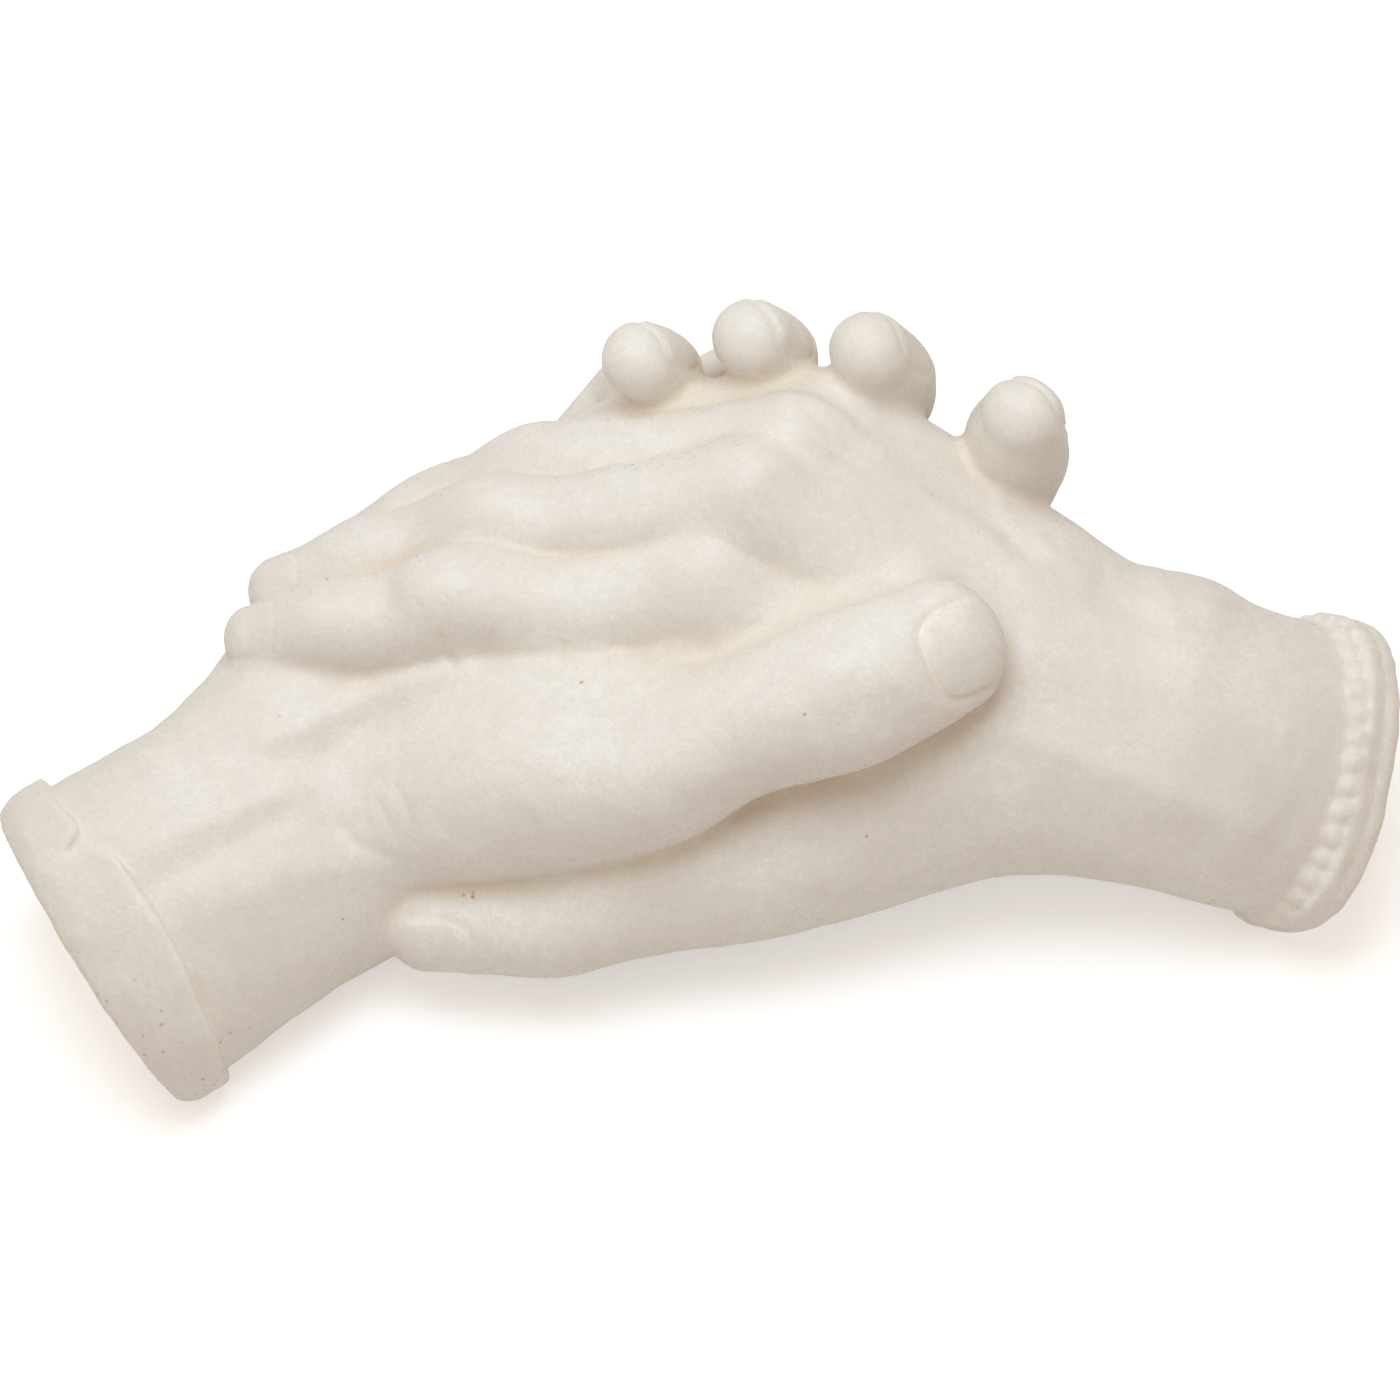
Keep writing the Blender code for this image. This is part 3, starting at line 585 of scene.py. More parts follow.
class SkinField:
    """Signed distances to a growing skin on an even grid, below zero inside, in mm."""

    def __init__(self, spacing):
        self.spacing = spacing
        self.first = np.floor(LOW / spacing).astype(int)
        self.shape = tuple(np.ceil(HIGH / spacing).astype(int) - self.first)
        self.values = np.full(self.shape, FIELD_REACH, np.float32)

    def limb(self, skin):
        """The block of the grid round a closed skin, and the distances to it there."""
        points, quads, triangles = skin
        transform = openvdb.createLinearTransform(voxelSize=self.spacing)
        level = openvdb.FloatGrid.createLevelSetFromPolygons(
            points.astype(np.float32),
            triangles=triangles.astype(np.uint32),
            quads=quads.astype(np.uint32),
            transform=transform,
            halfWidth=FIELD_REACH / self.spacing,
        )
        start = np.floor((points.min(axis=0) - FIELD_REACH) / self.spacing).astype(int)
        stop = np.ceil((points.max(axis=0) + FIELD_REACH) / self.spacing).astype(int)
        start = np.maximum(start, self.first)
        stop = np.minimum(stop, self.first + np.array(self.shape))
        distances = np.empty(tuple(stop - start), np.float32)
        level.copyToArray(distances, ijk=tuple(int(i) for i in start))
        block = tuple(slice(a, b) for a, b in zip(start - self.first, stop - self.first))
        return block, distances

    def add(self, skin, reach):
        """Blends a closed skin onto this one."""
        block, distances = self.limb(skin)
        self.values[block] = blend(self.values[block], distances, reach)

    def merge(self, other, reach):
        """Blends another field's skin onto this one."""
        self.values = blend(self.values, other.values, reach)

    def cut_below_table(self):
        """Takes off what lies under the table, whose height over the leaning plane is
        v * sin(lean) + w * cos(lean)."""
        v = (self.first[1] + np.arange(self.shape[1])) * self.spacing
        w = (self.first[2] + np.arange(self.shape[2])) * self.spacing
        height = v[:, None] * math.sin(LEAN) + w[None, :] * math.cos(LEAN)
        self.values = np.maximum(self.values, (TABLE_Z - height)[None].astype(np.float32))

    def surface(self):
        """Points and quads where the distance is zero."""
        grid = openvdb.FloatGrid(FIELD_REACH)
        grid.copyFromArray(self.values, ijk=tuple(int(i) for i in self.first))
        grid.transform = openvdb.createLinearTransform(voxelSize=self.spacing)
        return grid.convertToQuads(0.0)

    def crowding(self, points, radius):
        """Share of solid in a ball's worth of space round each point: over a half in a hollow and
        under it on an edge. Running sums along each axis, taken three times, stand for the ball."""
        stride = max(1, int(round(1.0 / self.spacing)))
        coarse = self.values[::stride, ::stride, ::stride]
        cell = self.spacing * stride
        solid = np.clip(0.5 - coarse / cell, 0, 1)
        half = max(1, int(round(radius / cell)))
        for axis in range(3):
            solid = running_mean(running_mean(solid, half, axis), half, axis)
        place = (points / self.spacing - self.first) / stride
        return sample(solid, place)


def blend(a, b, reach):
    """The lesser of two fields, less a quarter of the reach times the square of how near they are."""
    near = np.clip(1 - np.abs(a - b) / reach, 0, None)
    return np.minimum(a, b) - near * near * np.float32(reach / 4)


def running_mean(values, half, axis):
    """Mean of each value and its neighbours up to half a window away, from running sums."""
    values = np.moveaxis(values, axis, 0)
    before, after = np.repeat(values[:1], half + 1, 0), np.repeat(values[-1:], half, 0)
    padded = np.concatenate([before, values, after])
    total = np.cumsum(padded, axis=0, dtype=np.float64)
    mean = (total[2 * half + 1 :] - total[: -2 * half - 1]) / (2 * half + 1)
    return np.moveaxis(mean.astype(np.float32), 0, axis)


def sample(values, place):
    """Values between grid points, by weight along each axis."""
    place = np.clip(place, 0, np.array(values.shape) - 1.001)
    low = place.astype(int)
    part = place - low
    found = 0
    for corner in np.ndindex(2, 2, 2):
        weight = np.prod(np.where(corner, part, 1 - part), axis=1)
        at = low + np.array(corner)
        found = found + weight * values[at[:, 0], at[:, 1], at[:, 2]]
    return found


def summed_at_points(rows, quads, count):
    """Adds each face's row of three numbers to the face's four points."""
    at = quads.ravel()
    return np.stack([np.bincount(at, np.repeat(rows[:, k], 4), count) for k in range(3)], axis=1)


def normals_of(points, quads):
    """Sum of the faces' crossed diagonals at each point, made unit length."""
    corners = points[quads]
    facing = np.cross(corners[:, 2] - corners[:, 0], corners[:, 3] - corners[:, 1])
    found = summed_at_points(facing, quads, len(points))
    return found / np.maximum(np.linalg.norm(found, axis=1, keepdims=True), 1e-12)


def relaxed(points, quads, share):
    """Each point moved by a share of the way to the mean of its faces' middles."""
    faces = np.bincount(quads.ravel(), minlength=len(points))[:, None]
    total = summed_at_points(points[quads].mean(axis=1), quads, len(points))
    return points + share * (total / np.maximum(faces, 1) - points)


def distance_to_line(points, line):
    """Least distance in the plane from each point to a broken line."""
    line = np.array(line, float)
    start, run = line[:-1], np.diff(line, axis=0)
    offset = points[:, None, :] - start[None]
    t = np.clip((offset * run).sum(axis=2) / (run * run).sum(axis=1), 0, 1)
    return np.linalg.norm(offset - t[..., None] * run, axis=2).min(axis=1)


def skin_lines(points, normals):
    """Height of cords, joints and creases on the skin that faces up: bells of the distance in the
    plane to each line."""
    height = np.zeros(len(points))
    facing = np.clip(normals[:, 2] * 2, 0, 1)
    for line, breadth, rise in SKIN_LINES:
        line = smooth_path(line, 6)
        box = (points[:, :2] > line.min(0) - 3 * breadth) & (points[:, :2] < line.max(0) + 3 * breadth)
        chosen = np.flatnonzero(box.all(axis=1) & (facing > 0))
        height[chosen] += rise * bump(distance_to_line(points[chosen, :2], line), breadth)
    return height * facing


def nails(points, normals, rise, groove):
    """Height of nails: within a super-oval outline of the middle's plane, where the sum of the
    cubes of both distances is under 1, a raised plate, with a groove and a lip round all but its tip."""
    height = np.zeros(len(points))
    for middle, to_tip, outward, half_length, half_width, depth, edge in NAILS:
        outward = unit(outward)
        to_tip = unit(to_tip - outward * (outward @ np.array(to_tip)))
        offset = points - np.array(middle)
        near = (offset**2).sum(axis=1) < NAIL_REACH**2
        chosen = np.flatnonzero(near & (normals @ outward > 0))
        offset = offset[chosen]
        along = offset @ to_tip / half_length
        side = offset @ np.cross(outward, to_tip) / half_width
        outline = (np.abs(along) ** 3 + np.abs(side) ** 3) ** (1 / 3)
        plate = rise * step_down(outline, 1.0, 0.10)
        ditch = -groove * bump(outline - 1.06, 0.075) * np.maximum(edge, step_down(along, 0.72, 0.5))
        lip = 0.30 * bump(outline - 1.30, 0.16) * step_down(along, 0.7, 0.8)
        facing = np.clip(normals[chosen] @ outward * 3 - 0.3, 0, 1)
        height[chosen] += depth * (plate + ditch + lip) * facing
    return height


def undulation(points, cell, seed):
    """Uneven hand carving: values that a fixed seed gives at grid points one cell apart, eased between."""
    steps = np.ceil((HIGH - LOW) / cell).astype(int) + 3
    values = np.random.default_rng(seed).normal(size=tuple(steps))
    place = (points - LOW) / cell + 1
    whole = np.floor(place)
    part = place - whole
    return sample(values, whole + part * part * (3 - 2 * part))


def cuff_axes(stations, across):
    """Middle of a cuff's end, the direction from it along the wrist, and the oval's two directions."""
    path = smooth_path(stations)
    along = unit(path[1, :3] - path[0, :3])
    broad = unit(across - along * (along @ np.array(across)))
    return path[0, :3], along, broad, np.cross(along, broad)


def cuff_skin(axes, oval, profile, stretch=None, squareness=2.0):
    """Rings about one axis from rows of distance along it and height over the oval. Stretch lays the
    inner rings further along by a function of the turn. A squareness over 2 fills the oval's corners:
    cosine and sine are taken to the power of 2 over it, and keep their signs."""
    start, along, broad, thick = axes
    turn = 2 * np.pi * np.arange(160) / 160
    distance, height = np.array(profile, float).T
    distance = distance[:, None] + np.zeros(len(turn))
    if stretch is not None:
        distance = distance * (1 + stretch(turn)[None])
    points = start + along * distance[..., None]
    over = np.sign(np.cos(turn)) * np.abs(np.cos(turn)) ** (2 / squareness)
    aside = np.sign(np.sin(turn)) * np.abs(np.sin(turn)) ** (2 / squareness)
    points = points + broad * ((oval[0] + height)[:, None] * over)[..., None]
    points = points + thick * ((oval[1] + height)[:, None] * aside)[..., None]
    return closed_skin(points)


def end_corner(rise, radius):
    """The round corner at a cuff's end, as rows of distance along the wrist and height over it."""
    angle = CORNER_ANGLES[::-1]
    return np.stack([radius * (1 - np.sin(angle)), rise - radius * (1 - np.cos(angle))], axis=1)


def wrist_side(width, rise):
    """The round corner and the wall on the wrist's side of a cuff, in the same rows."""
    distance = width - WRIST_CORNER * (1 - np.sin(CORNER_ANGLES))
    height = rise - WRIST_CORNER * (1 - np.cos(CORNER_ANGLES))
    return np.vstack([np.stack([distance, height], axis=1), [(width, WALL_FOOT)]])


def band_step(turn):
    """How much wider than its breadth the lower cuff's band is: widest over the wrist's middle, and
    narrower above a notch on its upper side."""
    over = np.clip(np.sin(turn), 0, None)
    below = 1 - step_down(-np.cos(turn), -0.52, 0.08)
    notch = bump(turn - math.radians(57), 0.07)
    return -0.22 + 0.40 * over**2 + 0.17 * below * over - 0.42 * notch


def plain_band(sizes):
    """The lower cuff's band: the forearm's oval, raised, with a slope cut along its end, a rounded
    edge on the wrist's side and one step."""
    slope = BAND_SLOPE + np.array([0.0, sizes.band_rise])
    profile = np.vstack([slope, wrist_side(sizes.band_width, sizes.band_rise)])
    return cuff_skin(cuff_axes(LOWER_ARM, LOWER_ACROSS), LOWER_ARM[0][3:], profile, band_step)


def plain_rim(sizes):
    """The upper cuff's rim, with rounded edges and a line cut round its middle."""
    line = RIM_LINE + np.array([RIM_LINE_AT * sizes.rim_width, sizes.rim_rise])
    corner = end_corner(sizes.rim_rise, RIM_CORNER)
    profile = np.vstack([corner, line, wrist_side(sizes.rim_width, sizes.rim_rise)])
    axes = cuff_axes(UPPER_ARM, UPPER_ACROSS)
    return cuff_skin(axes, UPPER_ARM[0][3:], profile, squareness=RIM_SQUARENESS)


def bead_skins(sizes):
    """Balls of slightly uneven size at even steps of the oval's own length, found by adding up its
    arc."""
    start, along, broad, thick = cuff_axes(UPPER_ARM, UPPER_ACROSS)
    centre = start + along * (sizes.rim_width + BEAD_SET_IN * sizes.bead_radius)
    half_breadth, half_thickness = np.array(UPPER_ARM[0][3:]) + sizes.bead_rise
    turn = np.linspace(0, 2 * np.pi, 721)
    pace = np.hypot(half_breadth * np.sin(turn), half_thickness * np.cos(turn))
    run = np.append(0.0, np.cumsum(0.5 * (pace[1:] + pace[:-1])))
    at = np.interp((np.arange(sizes.bead_count) + 0.5) / sizes.bead_count * run[-1], run, turn)
    for count, angle in enumerate(at):
        r = sizes.bead_radius * (1 + 0.10 * math.sin(2.3 * count))
        middle = centre + broad * half_breadth * math.cos(angle) + thick * half_thickness * math.sin(angle)
        ends = [(*(middle - along * 0.02), r, r), (*(middle + along * 0.02), r, r)]
        yield oval_skin(ends, broad, 32)


def lower_hand(sizes):
    """The palm-up hand: body first, then fingers and thumb blended onto it."""
    hand = SkinField(sizes.grid)
    hand.add(oval_skin(LOWER_ARM, LOWER_ACROSS, 128, False), sizes.body_fill)
    hand.add(oval_skin(LOWER_PALM, LOWER_ACROSS, 96), sizes.body_fill)
    hand.add(oval_skin(LOWER_THENAR, LOWER_THUMB_ACROSS, 96), sizes.body_fill)
    hand.add(oval_skin(LOWER_HEEL, LOWER_ACROSS, 96), sizes.body_fill)
    for stations in LOWER_BONES.values():
        hand.add(oval_skin(stations, LOWER_ACROSS), sizes.body_fill)
    fingers = SkinField(sizes.grid)
    for stations in LOWER_FINGERS.values():
        fingers.add(oval_skin(stations, LOWER_HINGE), sizes.crease)
    hand.merge(fingers, sizes.finger_fill)
    hand.add(oval_skin(LOWER_THUMB, LOWER_THUMB_ACROSS, 96), sizes.body_fill)
    hand.add(oval_skin(PALM_ROLL, PALM_CONTACT_ACROSS), sizes.body_fill)
    return hand


def upper_hand(sizes):
    """The back-up hand, made as the lower one is."""
    hand = SkinField(sizes.grid)
    hand.add(oval_skin(UPPER_ARM, UPPER_ACROSS, 128, False), sizes.body_fill)
    hand.add(oval_skin(UPPER_PALM, UPPER_PALM_ACROSS, 96), sizes.body_fill)
    hand.add(oval_skin(UPPER_WEB, UPPER_ACROSS, 96), sizes.body_fill)
    hand.add(oval_skin(ULNAR_KNOB, UPPER_ACROSS), sizes.body_fill)
    for stations in UPPER_BONES.values():
        hand.add(oval_skin(stations, UPPER_PALM_ACROSS), sizes.finger_fill)
    fingers = SkinField(sizes.grid)
    for stations in UPPER_FINGERS.values():
        fingers.add(oval_skin(stations, UPPER_HINGE), sizes.finger_crease)
    fingers.add(oval_skin(TIP_BED, UPPER_HINGE), sizes.finger_crease)
    hand.merge(fingers, sizes.finger_fill)
    hand.add(oval_skin(UPPER_THUMB, UPPER_THUMB_ACROSS, 96), sizes.body_fill)
    return hand


def carved(points, normals, sizes):
    """Points moved out or in by the lines, nails and hand carving, but not where they stand on the
    table."""
    standing = points[:, 1] * math.sin(LEAN) + points[:, 2] * math.cos(LEAN) > TABLE_Z + 0.3
    height = skin_lines(points, normals) + nails(points, normals, sizes.nail_rise, sizes.nail_groove)
    worn = WEAR[0] + WEAR_AT_CUFFS * np.clip((np.abs(points[:, 0]) - CUFFS_START) / 6, 0, 1)
    height = height + CARVING[0] * undulation(points, *CARVING[1:]) + worn * undulation(points, *WEAR[1:])
    return points + normals * (height * standing)[:, None]


def clasped_skin(sizes):
    """Both hands and cuffs as one surface. Returns its points in mm, its quads and how far each
    point lies in a hollow, which the painted shade in grooves follows."""
    clasp = lower_hand(sizes)
    clasp.add(plain_band(sizes), CUFF_FILL)
    upper = upper_hand(sizes)
    upper.add(plain_rim(sizes), CUFF_FILL)
    for bead in bead_skins(sizes):
        upper.add(bead, BEAD_FILL)
    clasp.add(oval_skin(PALM_CONTACT, PALM_CONTACT_ACROSS, 96), sizes.crease)
    clasp.add(oval_skin(THUMB_BED, PALM_CONTACT_ACROSS), sizes.crease)
    clasp.merge(upper, sizes.crease)
    clasp.cut_below_table()
    points, quads = clasp.surface()
    quads = quads.astype(np.int64)
    points = relaxed(points.astype(float), quads, SMOOTHING)
    normals = normals_of(points, quads)
    if (normals * (points - points.mean(axis=0))).sum() < 0:
        quads, normals = quads[:, ::-1], -normals
    points = carved(points, normals, sizes)
    near = clasp.crowding(points, RECESS_RADIUS) - 0.5
    broad = clasp.crowding(points, BROAD_RECESS_RADIUS) - 0.5
    return points, quads, np.maximum(near, BROAD_RECESS_WEIGHT * broad)


def stood_up(points):
    """The clasp plane leant back by the lean, in metres, with the box's middle over the origin and
    the lowest point on the table."""
    c, s = math.cos(LEAN), math.sin(LEAN)
    x, y, z = points.T
    turned = np.stack([x, y * c - z * s, y * s + z * c], axis=1)
    low, high = turned.min(axis=0), turned.max(axis=0)
    turned = turned - np.array([(low[0] + high[0]) / 2, (low[1] + high[1]) / 2, low[2]])
    return turned * 0.001


class StoneNodes:
    """Adds nodes to a material's tree. Their patterns lie on the object's own coordinates."""

    def __init__(self, tree):
        self.nodes, self.links = tree.nodes, tree.links
        self.place = self.add("ShaderNodeTexCoord").outputs["Object"]

    def add(self, kind, **settings):
        node = self.nodes.new(kind)
        for name, value in settings.items():
            setattr(node, name, value)
        return node

    def feed(self, value, socket):
        """Links another node's output to a socket, or gives it a number or a colour."""
        if isinstance(value, bpy.types.NodeSocket):
            self.links.new(value, socket)
        elif socket.type == "RGBA":
            socket.default_value = (*value, 1.0)
        else:
            socket.default_value = value

    def feed_all(self, node, **values):
        for name, value in values.items():
            self.feed(value, node.inputs[name.replace("_", " ")])
        return node

    def noise(self, scale, detail, roughness=0.55):
        node = self.add("ShaderNodeTexNoise")
        self.feed_all(node, Vector=self.place, Scale=scale, Detail=detail, Roughness=roughness)
        return node.outputs["Fac"]

    def cells(self, scale):
        """Distance from the middle of a cell, and three random numbers that each cell has."""
        node = self.feed_all(self.add("ShaderNodeTexVoronoi"), Vector=self.place, Scale=scale)
        numbers = self.add("ShaderNodeSeparateColor")
        self.feed(node.outputs["Color"], numbers.inputs[0])
        return node.outputs["Distance"], numbers.outputs

    def spread(self, value, low, high, out_low=0.0, out_high=1.0):
        """Carries low to out_low and high to out_high in a straight line, and holds them beyond."""
        node = self.add("ShaderNodeMapRange")
        self.feed_all(node, Value=value, From_Min=low, From_Max=high, To_Min=out_low, To_Max=out_high)
        return node.outputs["Result"]

    def mixed(self, share, first, second):
        node = self.add("ShaderNodeMix", data_type="RGBA")
        for value, socket in ((share, "Factor"), (first, 6), (second, 7)):
            self.feed(value, node.inputs[socket])
        return node.outputs[2]

    def maths(self, operation, first, second):
        node = self.add("ShaderNodeMath", operation=operation)
        self.feed(first, node.inputs[0])
        self.feed(second, node.inputs[1])
        return node.outputs[0]

    def product(self, first, second):
        return self.maths("MULTIPLY", first, second)


def stone_colour(make, finish):
    """Cloudy patches, two finer mottlings a little darker than the stone, and painted shade: a tan
    darkening that grows with how deep the skin lies in grooves and hollows, where shade falls."""
    clouds = make.spread(make.noise(38.0, 3.0), 0.38, 0.64)
    colour = make.mixed(clouds, tuple(finish.stone), tuple(finish.milky))
    darker = tuple(MOTTLE_SHADE * c for c in finish.stone)
    mottle = make.spread(make.noise(300.0, 3.0, 0.65), 0.36, 0.66)
    sugar = make.spread(make.noise(1300.0, 2.0, 0.6), 0.34, 0.66)
    for pattern in (mottle, sugar):
        colour = make.mixed(make.product(pattern, MOTTLE_SHARE), colour, darker)
    # Painted shade: the colour turns towards the darker tan where the skin lies deep in grooves and
    # hollows, as shade would fall there.
    recess_shade = make.add("ShaderNodeAttribute", attribute_name="recess_shade")
    depth = make.spread(recess_shade.outputs["Fac"], 0.06, 0.30)
    uneven = make.spread(make.noise(120.0, 4.0), 0.3, 0.7, 0.45, 0.85)
    return make.mixed(make.product(depth, uneven), colour, tuple(finish.recess_shade))


def pits(make):
    """Pin-prick pits in the middle of a few cells, where noise is high, and of many more round the
    worn spot of the lower cuff."""
    distance, numbers = make.cells(700.0)
    pit = make.spread(distance, 0.17, 0.25, 1.0, 0.0)
    spot = make.add("ShaderNodeVectorMath", operation="DISTANCE")
    make.feed(make.place, spot.inputs[0])
    make.feed(WORN_SPOT, spot.inputs[1])
    near_spot = make.spread(spot.outputs["Value"], 0.008, 0.024, 1.0, 0.0)
    few = make.maths("GREATER_THAN", numbers[0], make.spread(near_spot, 0.0, 1.0, 0.97, 0.42))
    rare = make.spread(make.noise(60.0, 3.0), 0.60, 0.66)
    return make.product(make.product(pit, few), make.maths("MAXIMUM", rare, near_spot))


def marble_material(finish):
    """Warm marble: mottled stone with pits and pale crystals, grain in the bump, a few crystals that
    shine more, and light that enters the stone."""
    material = bpy.data.materials.new("warm_marble")
    material.use_nodes = True
    shader = material.node_tree.nodes["Principled BSDF"]
    make = StoneNodes(material.node_tree)
    pit = pits(make)
    _, crystal = make.cells(2400.0)

    colour = make.mixed(make.product(pit, 0.85), stone_colour(make, finish), tuple(finish.speck))
    pale = make.maths("GREATER_THAN", crystal[2], 0.86)
    colour = make.mixed(make.product(pale, 0.13), colour, tuple(finish.fleck))

    low, high = finish.roughness - 0.06, finish.roughness + 0.10
    rough = make.spread(make.noise(700.0, 1.0), 0.3, 0.7, low, high)
    sparkle = make.maths("GREATER_THAN", crystal[1], 0.93)
    rough = make.maths("SUBTRACT", rough, make.product(sparkle, 0.22))

    height = make.product(make.noise(1100.0, 2.0, 0.7), 0.9)
    for layer, weight in ((crystal[0], 0.35), (make.noise(170.0, 3.0), 1.2), (pit, -2.0)):
        height = make.maths("ADD", height, make.product(layer, weight))
    relief = make.feed_all(make.add("ShaderNodeBump"), Strength=0.40, Distance=0.0004, Height=height)

    shader.subsurface_method = "BURLEY"
    make.feed_all(
        shader,
        Base_Color=colour,
        Roughness=rough,
        Normal=relief.outputs["Normal"],
        Subsurface_Weight=finish.depth,
        Subsurface_Radius=(1.0, 0.75, 0.5),
        Subsurface_Scale=0.004,
        Specular_IOR_Level=0.42,
        IOR=1.5,
    )
    return material


def skin_object(scene, points, quads, recess_shade):
    """The whole skin as an object, with the depth values that the painted shade in hollows follows on its
    points.
    """
    mesh = bpy.data.meshes.new("clasped_hands")
    mesh.vertices.add(len(points))
    mesh.vertices.foreach_set("co", stood_up(points).ravel())
    mesh.loops.add(quads.size)
    mesh.loops.foreach_set("vertex_index", quads.ravel())
    mesh.polygons.add(len(quads))
    mesh.polygons.foreach_set("loop_start", np.arange(len(quads)) * 4)
    mesh.update(calc_edges=True)
    # How deep each point lies, which the painted shade in grooves and hollows follows
    values = mesh.attributes.new("recess_shade", "FLOAT", "POINT").data
    values.foreach_set("value", recess_shade.astype(np.float32))
    piece = bpy.data.objects.new("clasped_hands", mesh)
    scene.collection.objects.link(piece)
    return piece


def thin_out(context, piece, ratio):
    """Gives the piece a mesh with only a share of its triangles, fewest where it is flat."""
    fewer = piece.modifiers.new("fewer_faces", "DECIMATE")
    fewer.ratio = min(1.0, ratio)
    fewer.use_collapse_triangulate = True
    graph = context.evaluated_depsgraph_get()
    thin = bpy.data.meshes.new_from_object(piece.evaluated_get(graph), depsgraph=graph)
    piece.modifiers.clear()
    piece.data = thin
    thin.polygons.foreach_set("use_smooth", np.ones(len(thin.polygons), bool))


class MESH_OT_clasped_hands(Operator):
    """Works out the two hands and cuffs as one marble skin"""

    bl_idname = "mesh.clasped_hands"
    bl_label = "Clasped Hands"

    def execute(self, context):
        sizes = in_millimetres(context.scene.marble_sizes)
        points, quads, recess_shade = clasped_skin(sizes)
        piece = skin_object(context.scene, points, quads, recess_shade)
        thin_out(context, piece, sizes.most_triangles / (2 * len(quads)))
        if not len(piece.data.polygons):
            raise RuntimeError("the clasped hands came out empty")
        piece.data.materials.append(marble_material(context.scene.marble_finish))
        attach(piece, "root")
        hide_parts("handshake")
        return {"FINISHED"}


def area_lamp(scene, name, power, lamp):
    """A round lamp that faces the sculpture, from its place, size and colour."""
    place, size, colour = lamp
    light = bpy.data.lights.new(name, "AREA")
    light.shape = "DISK"
    light.size = size
    light.energy = power
    light.color = colour
    holder = bpy.data.objects.new(name, light)
    holder.location = place
    holder.rotation_euler = (Vector(LAMP_AIM) - Vector(place)).to_track_quat("-Z", "Y").to_euler()
    scene.collection.objects.link(holder)


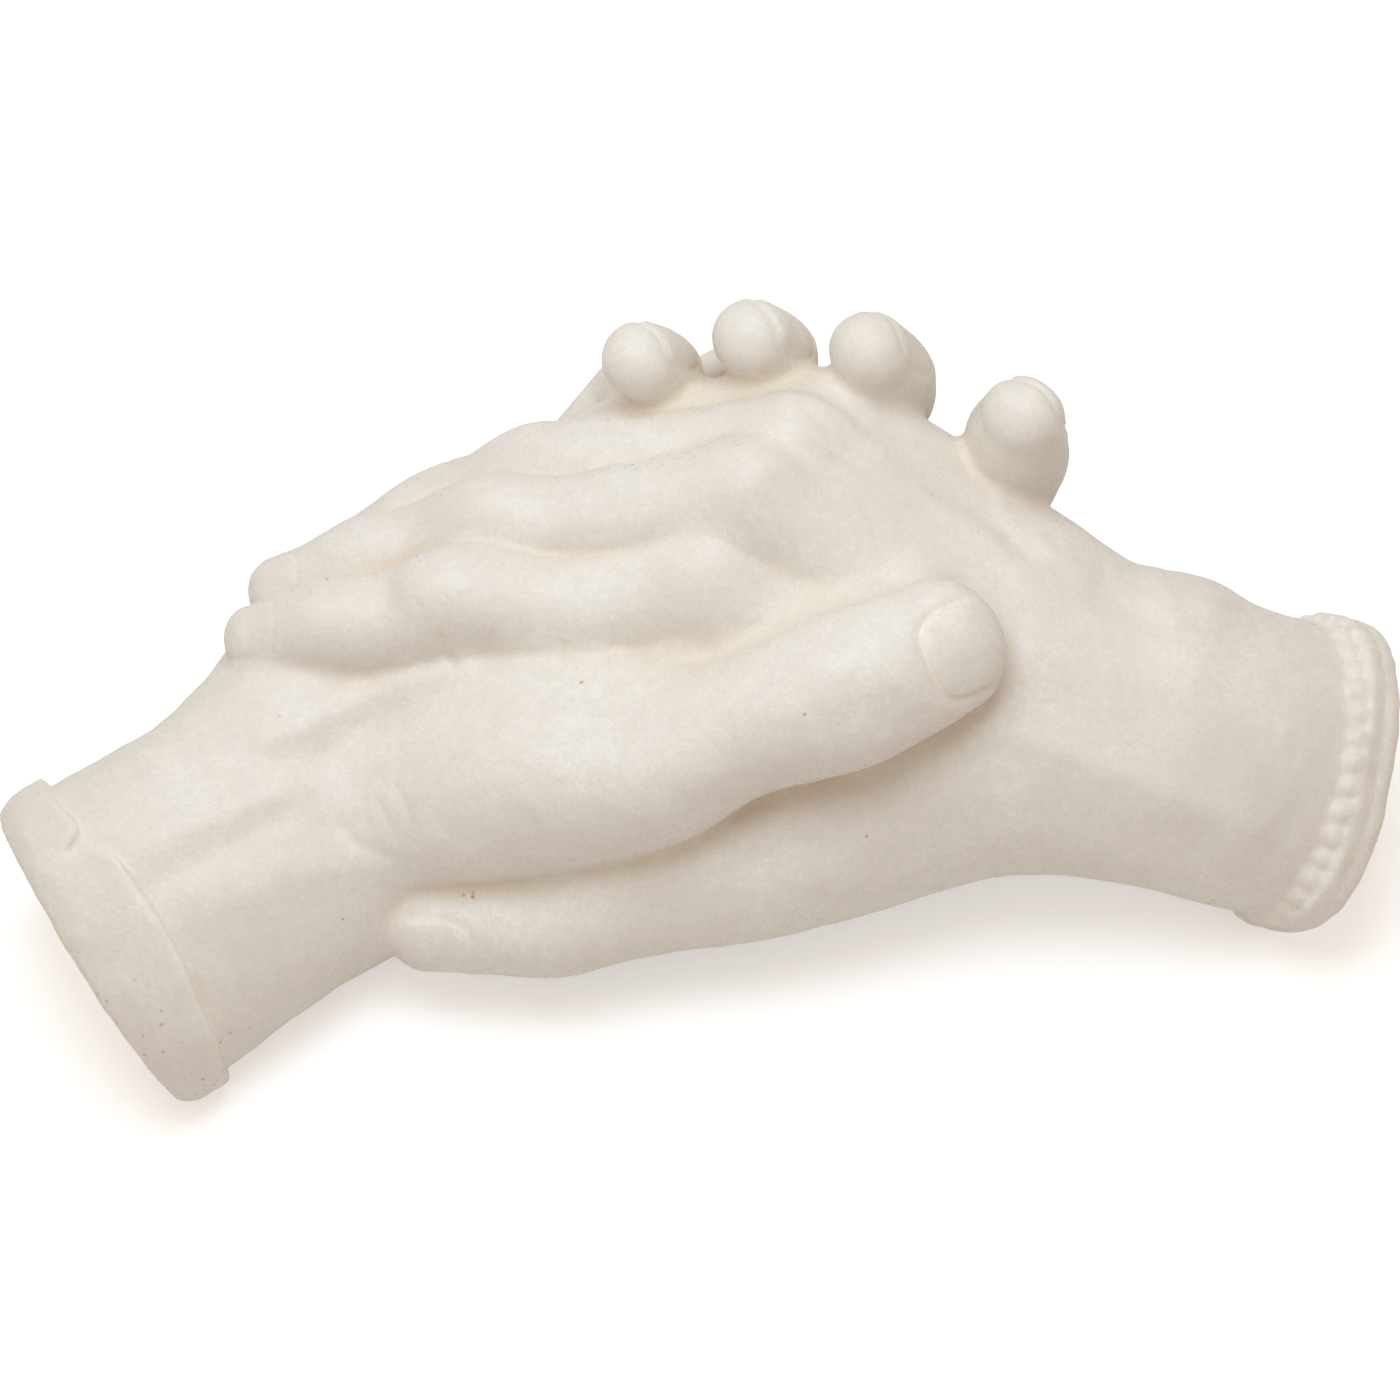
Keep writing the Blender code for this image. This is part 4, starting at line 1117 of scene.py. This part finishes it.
class SCENE_OT_studio_stage(Operator):
    """Sets the pale floor, the soft lamps and the camera over the sculpture"""

    bl_idname = "scene.studio_stage"
    bl_label = "Studio Stage"

    def execute(self, context):
        stage = context.scene.studio_stage
        self.floor(context.scene, stage)
        self.light(context.scene, stage)
        self.camera(context.scene, stage)
        return {"FINISHED"}

    def floor(self, scene, stage):
        """A matt floor that glows a little for the camera, so that it is white and keeps a shadow."""
        half = FLOOR_HALF
        mesh = bpy.data.meshes.new("floor")
        corners = [(-half, -half, 0), (half, -half, 0), (half, half, 0), (-half, half, 0)]
        mesh.from_pydata(corners, [], [(0, 1, 2, 3)])
        floor = bpy.data.objects.new("floor", mesh)
        scene.collection.objects.link(floor)
        material = bpy.data.materials.new("pale_floor")
        material.use_nodes = True
        tree = material.node_tree
        shader = tree.nodes["Principled BSDF"]
        shader.inputs["Base Color"].default_value = (*stage.floor, 1.0)
        shader.inputs["Roughness"].default_value = 0.9
        shader.inputs["Emission Color"].default_value = (1.0, 1.0, 1.0, 1.0)
        path = tree.nodes.new("ShaderNodeLightPath")
        glow = tree.nodes.new("ShaderNodeMath")
        glow.operation = "MULTIPLY"
        glow.inputs[1].default_value = FLOOR_GLOW
        tree.links.new(path.outputs["Is Camera Ray"], glow.inputs[0])
        tree.links.new(glow.outputs[0], shader.inputs["Emission Strength"])
        mesh.materials.append(material)

    def light(self, scene, stage):
        """A warm sky from all round, and two soft lamps."""
        world = bpy.data.worlds.new("studio")
        world.use_nodes = True
        background = world.node_tree.nodes["Background"]
        background.inputs["Color"].default_value = SKY_COLOUR
        background.inputs["Strength"].default_value = stage.sky
        scene.world = world
        area_lamp(scene, "key", stage.key, KEY_LAMP)
        area_lamp(scene, "fill", stage.fill, FILL_LAMP)

    def camera(self, scene, stage):
        """The camera looks along its elevation at the middle of the sculpture's outline, and its
        lens makes the outline as wide as the frame."""
        piece = bpy.data.objects["clasped_hands"]
        points = np.empty(len(piece.data.vertices) * 3)
        piece.data.vertices.foreach_get("co", points)
        points = points.reshape(-1, 3)
        e = stage.elevation
        back = np.array([0.0, -math.cos(e), math.sin(e)])
        right = np.array([1.0, 0.0, 0.0])
        up = np.cross(back, right)
        aim = points.mean(axis=0)
        for _ in range(4):
            seen = points - (aim + back * stage.distance)
            depth = -(seen @ back)
            x, y = seen @ right / depth, seen @ up / depth
            shift = right * (x.max() + x.min()) + up * (y.max() + y.min())
            aim = aim + shift * stage.distance / 2
        camera = bpy.data.cameras.new("camera")
        camera.sensor_width = 36.0
        camera.lens = 36.0 / (x.max() - x.min())
        camera.clip_start = 0.01
        holder = bpy.data.objects.new("camera", camera)
        holder.location = Vector(aim + back * stage.distance)
        holder.rotation_euler = (math.pi / 2 - e, 0.0, 0.0)
        scene.collection.objects.link(holder)
        scene.camera = holder


class VIEW3D_PT_clasped_hands(Panel):
    """Sizes, colours and the two steps, in order"""

    bl_label = "Clasped Hands"
    bl_space_type = "VIEW_3D"
    bl_region_type = "UI"
    bl_category = "Clasped Hands"

    def draw(self, context):
        scene = context.scene
        steps = (
            (scene.marble_sizes, None),
            (scene.marble_finish, MESH_OT_clasped_hands.bl_idname),
            (scene.studio_stage, SCENE_OT_studio_stage.bl_idname),
        )
        for group, operator in steps:
            box = self.layout.box()
            for name in group.__annotations__:
                box.prop(group, name)
            if operator:
                box.operator(operator)


CLASSES = (
    MarbleSizes,
    MarbleFinish,
    StudioStage,
    MESH_OT_clasped_hands,
    SCENE_OT_studio_stage,
    VIEW3D_PT_clasped_hands,
)


def register():
    for cls in CLASSES:
        bpy.utils.register_class(cls)
    bpy.types.Scene.marble_sizes = PointerProperty(type=MarbleSizes)
    bpy.types.Scene.marble_finish = PointerProperty(type=MarbleFinish)
    bpy.types.Scene.studio_stage = PointerProperty(type=StudioStage)


def unregister():
    del bpy.types.Scene.studio_stage
    del bpy.types.Scene.marble_finish
    del bpy.types.Scene.marble_sizes
    for cls in reversed(CLASSES):
        bpy.utils.unregister_class(cls)


def main():
    register()
    bpy.ops.mesh.clasped_hands()
    bpy.ops.scene.studio_stage()
    bpy.context.scene.view_settings.view_transform = "Standard"


if __name__ == "__main__":
    main()
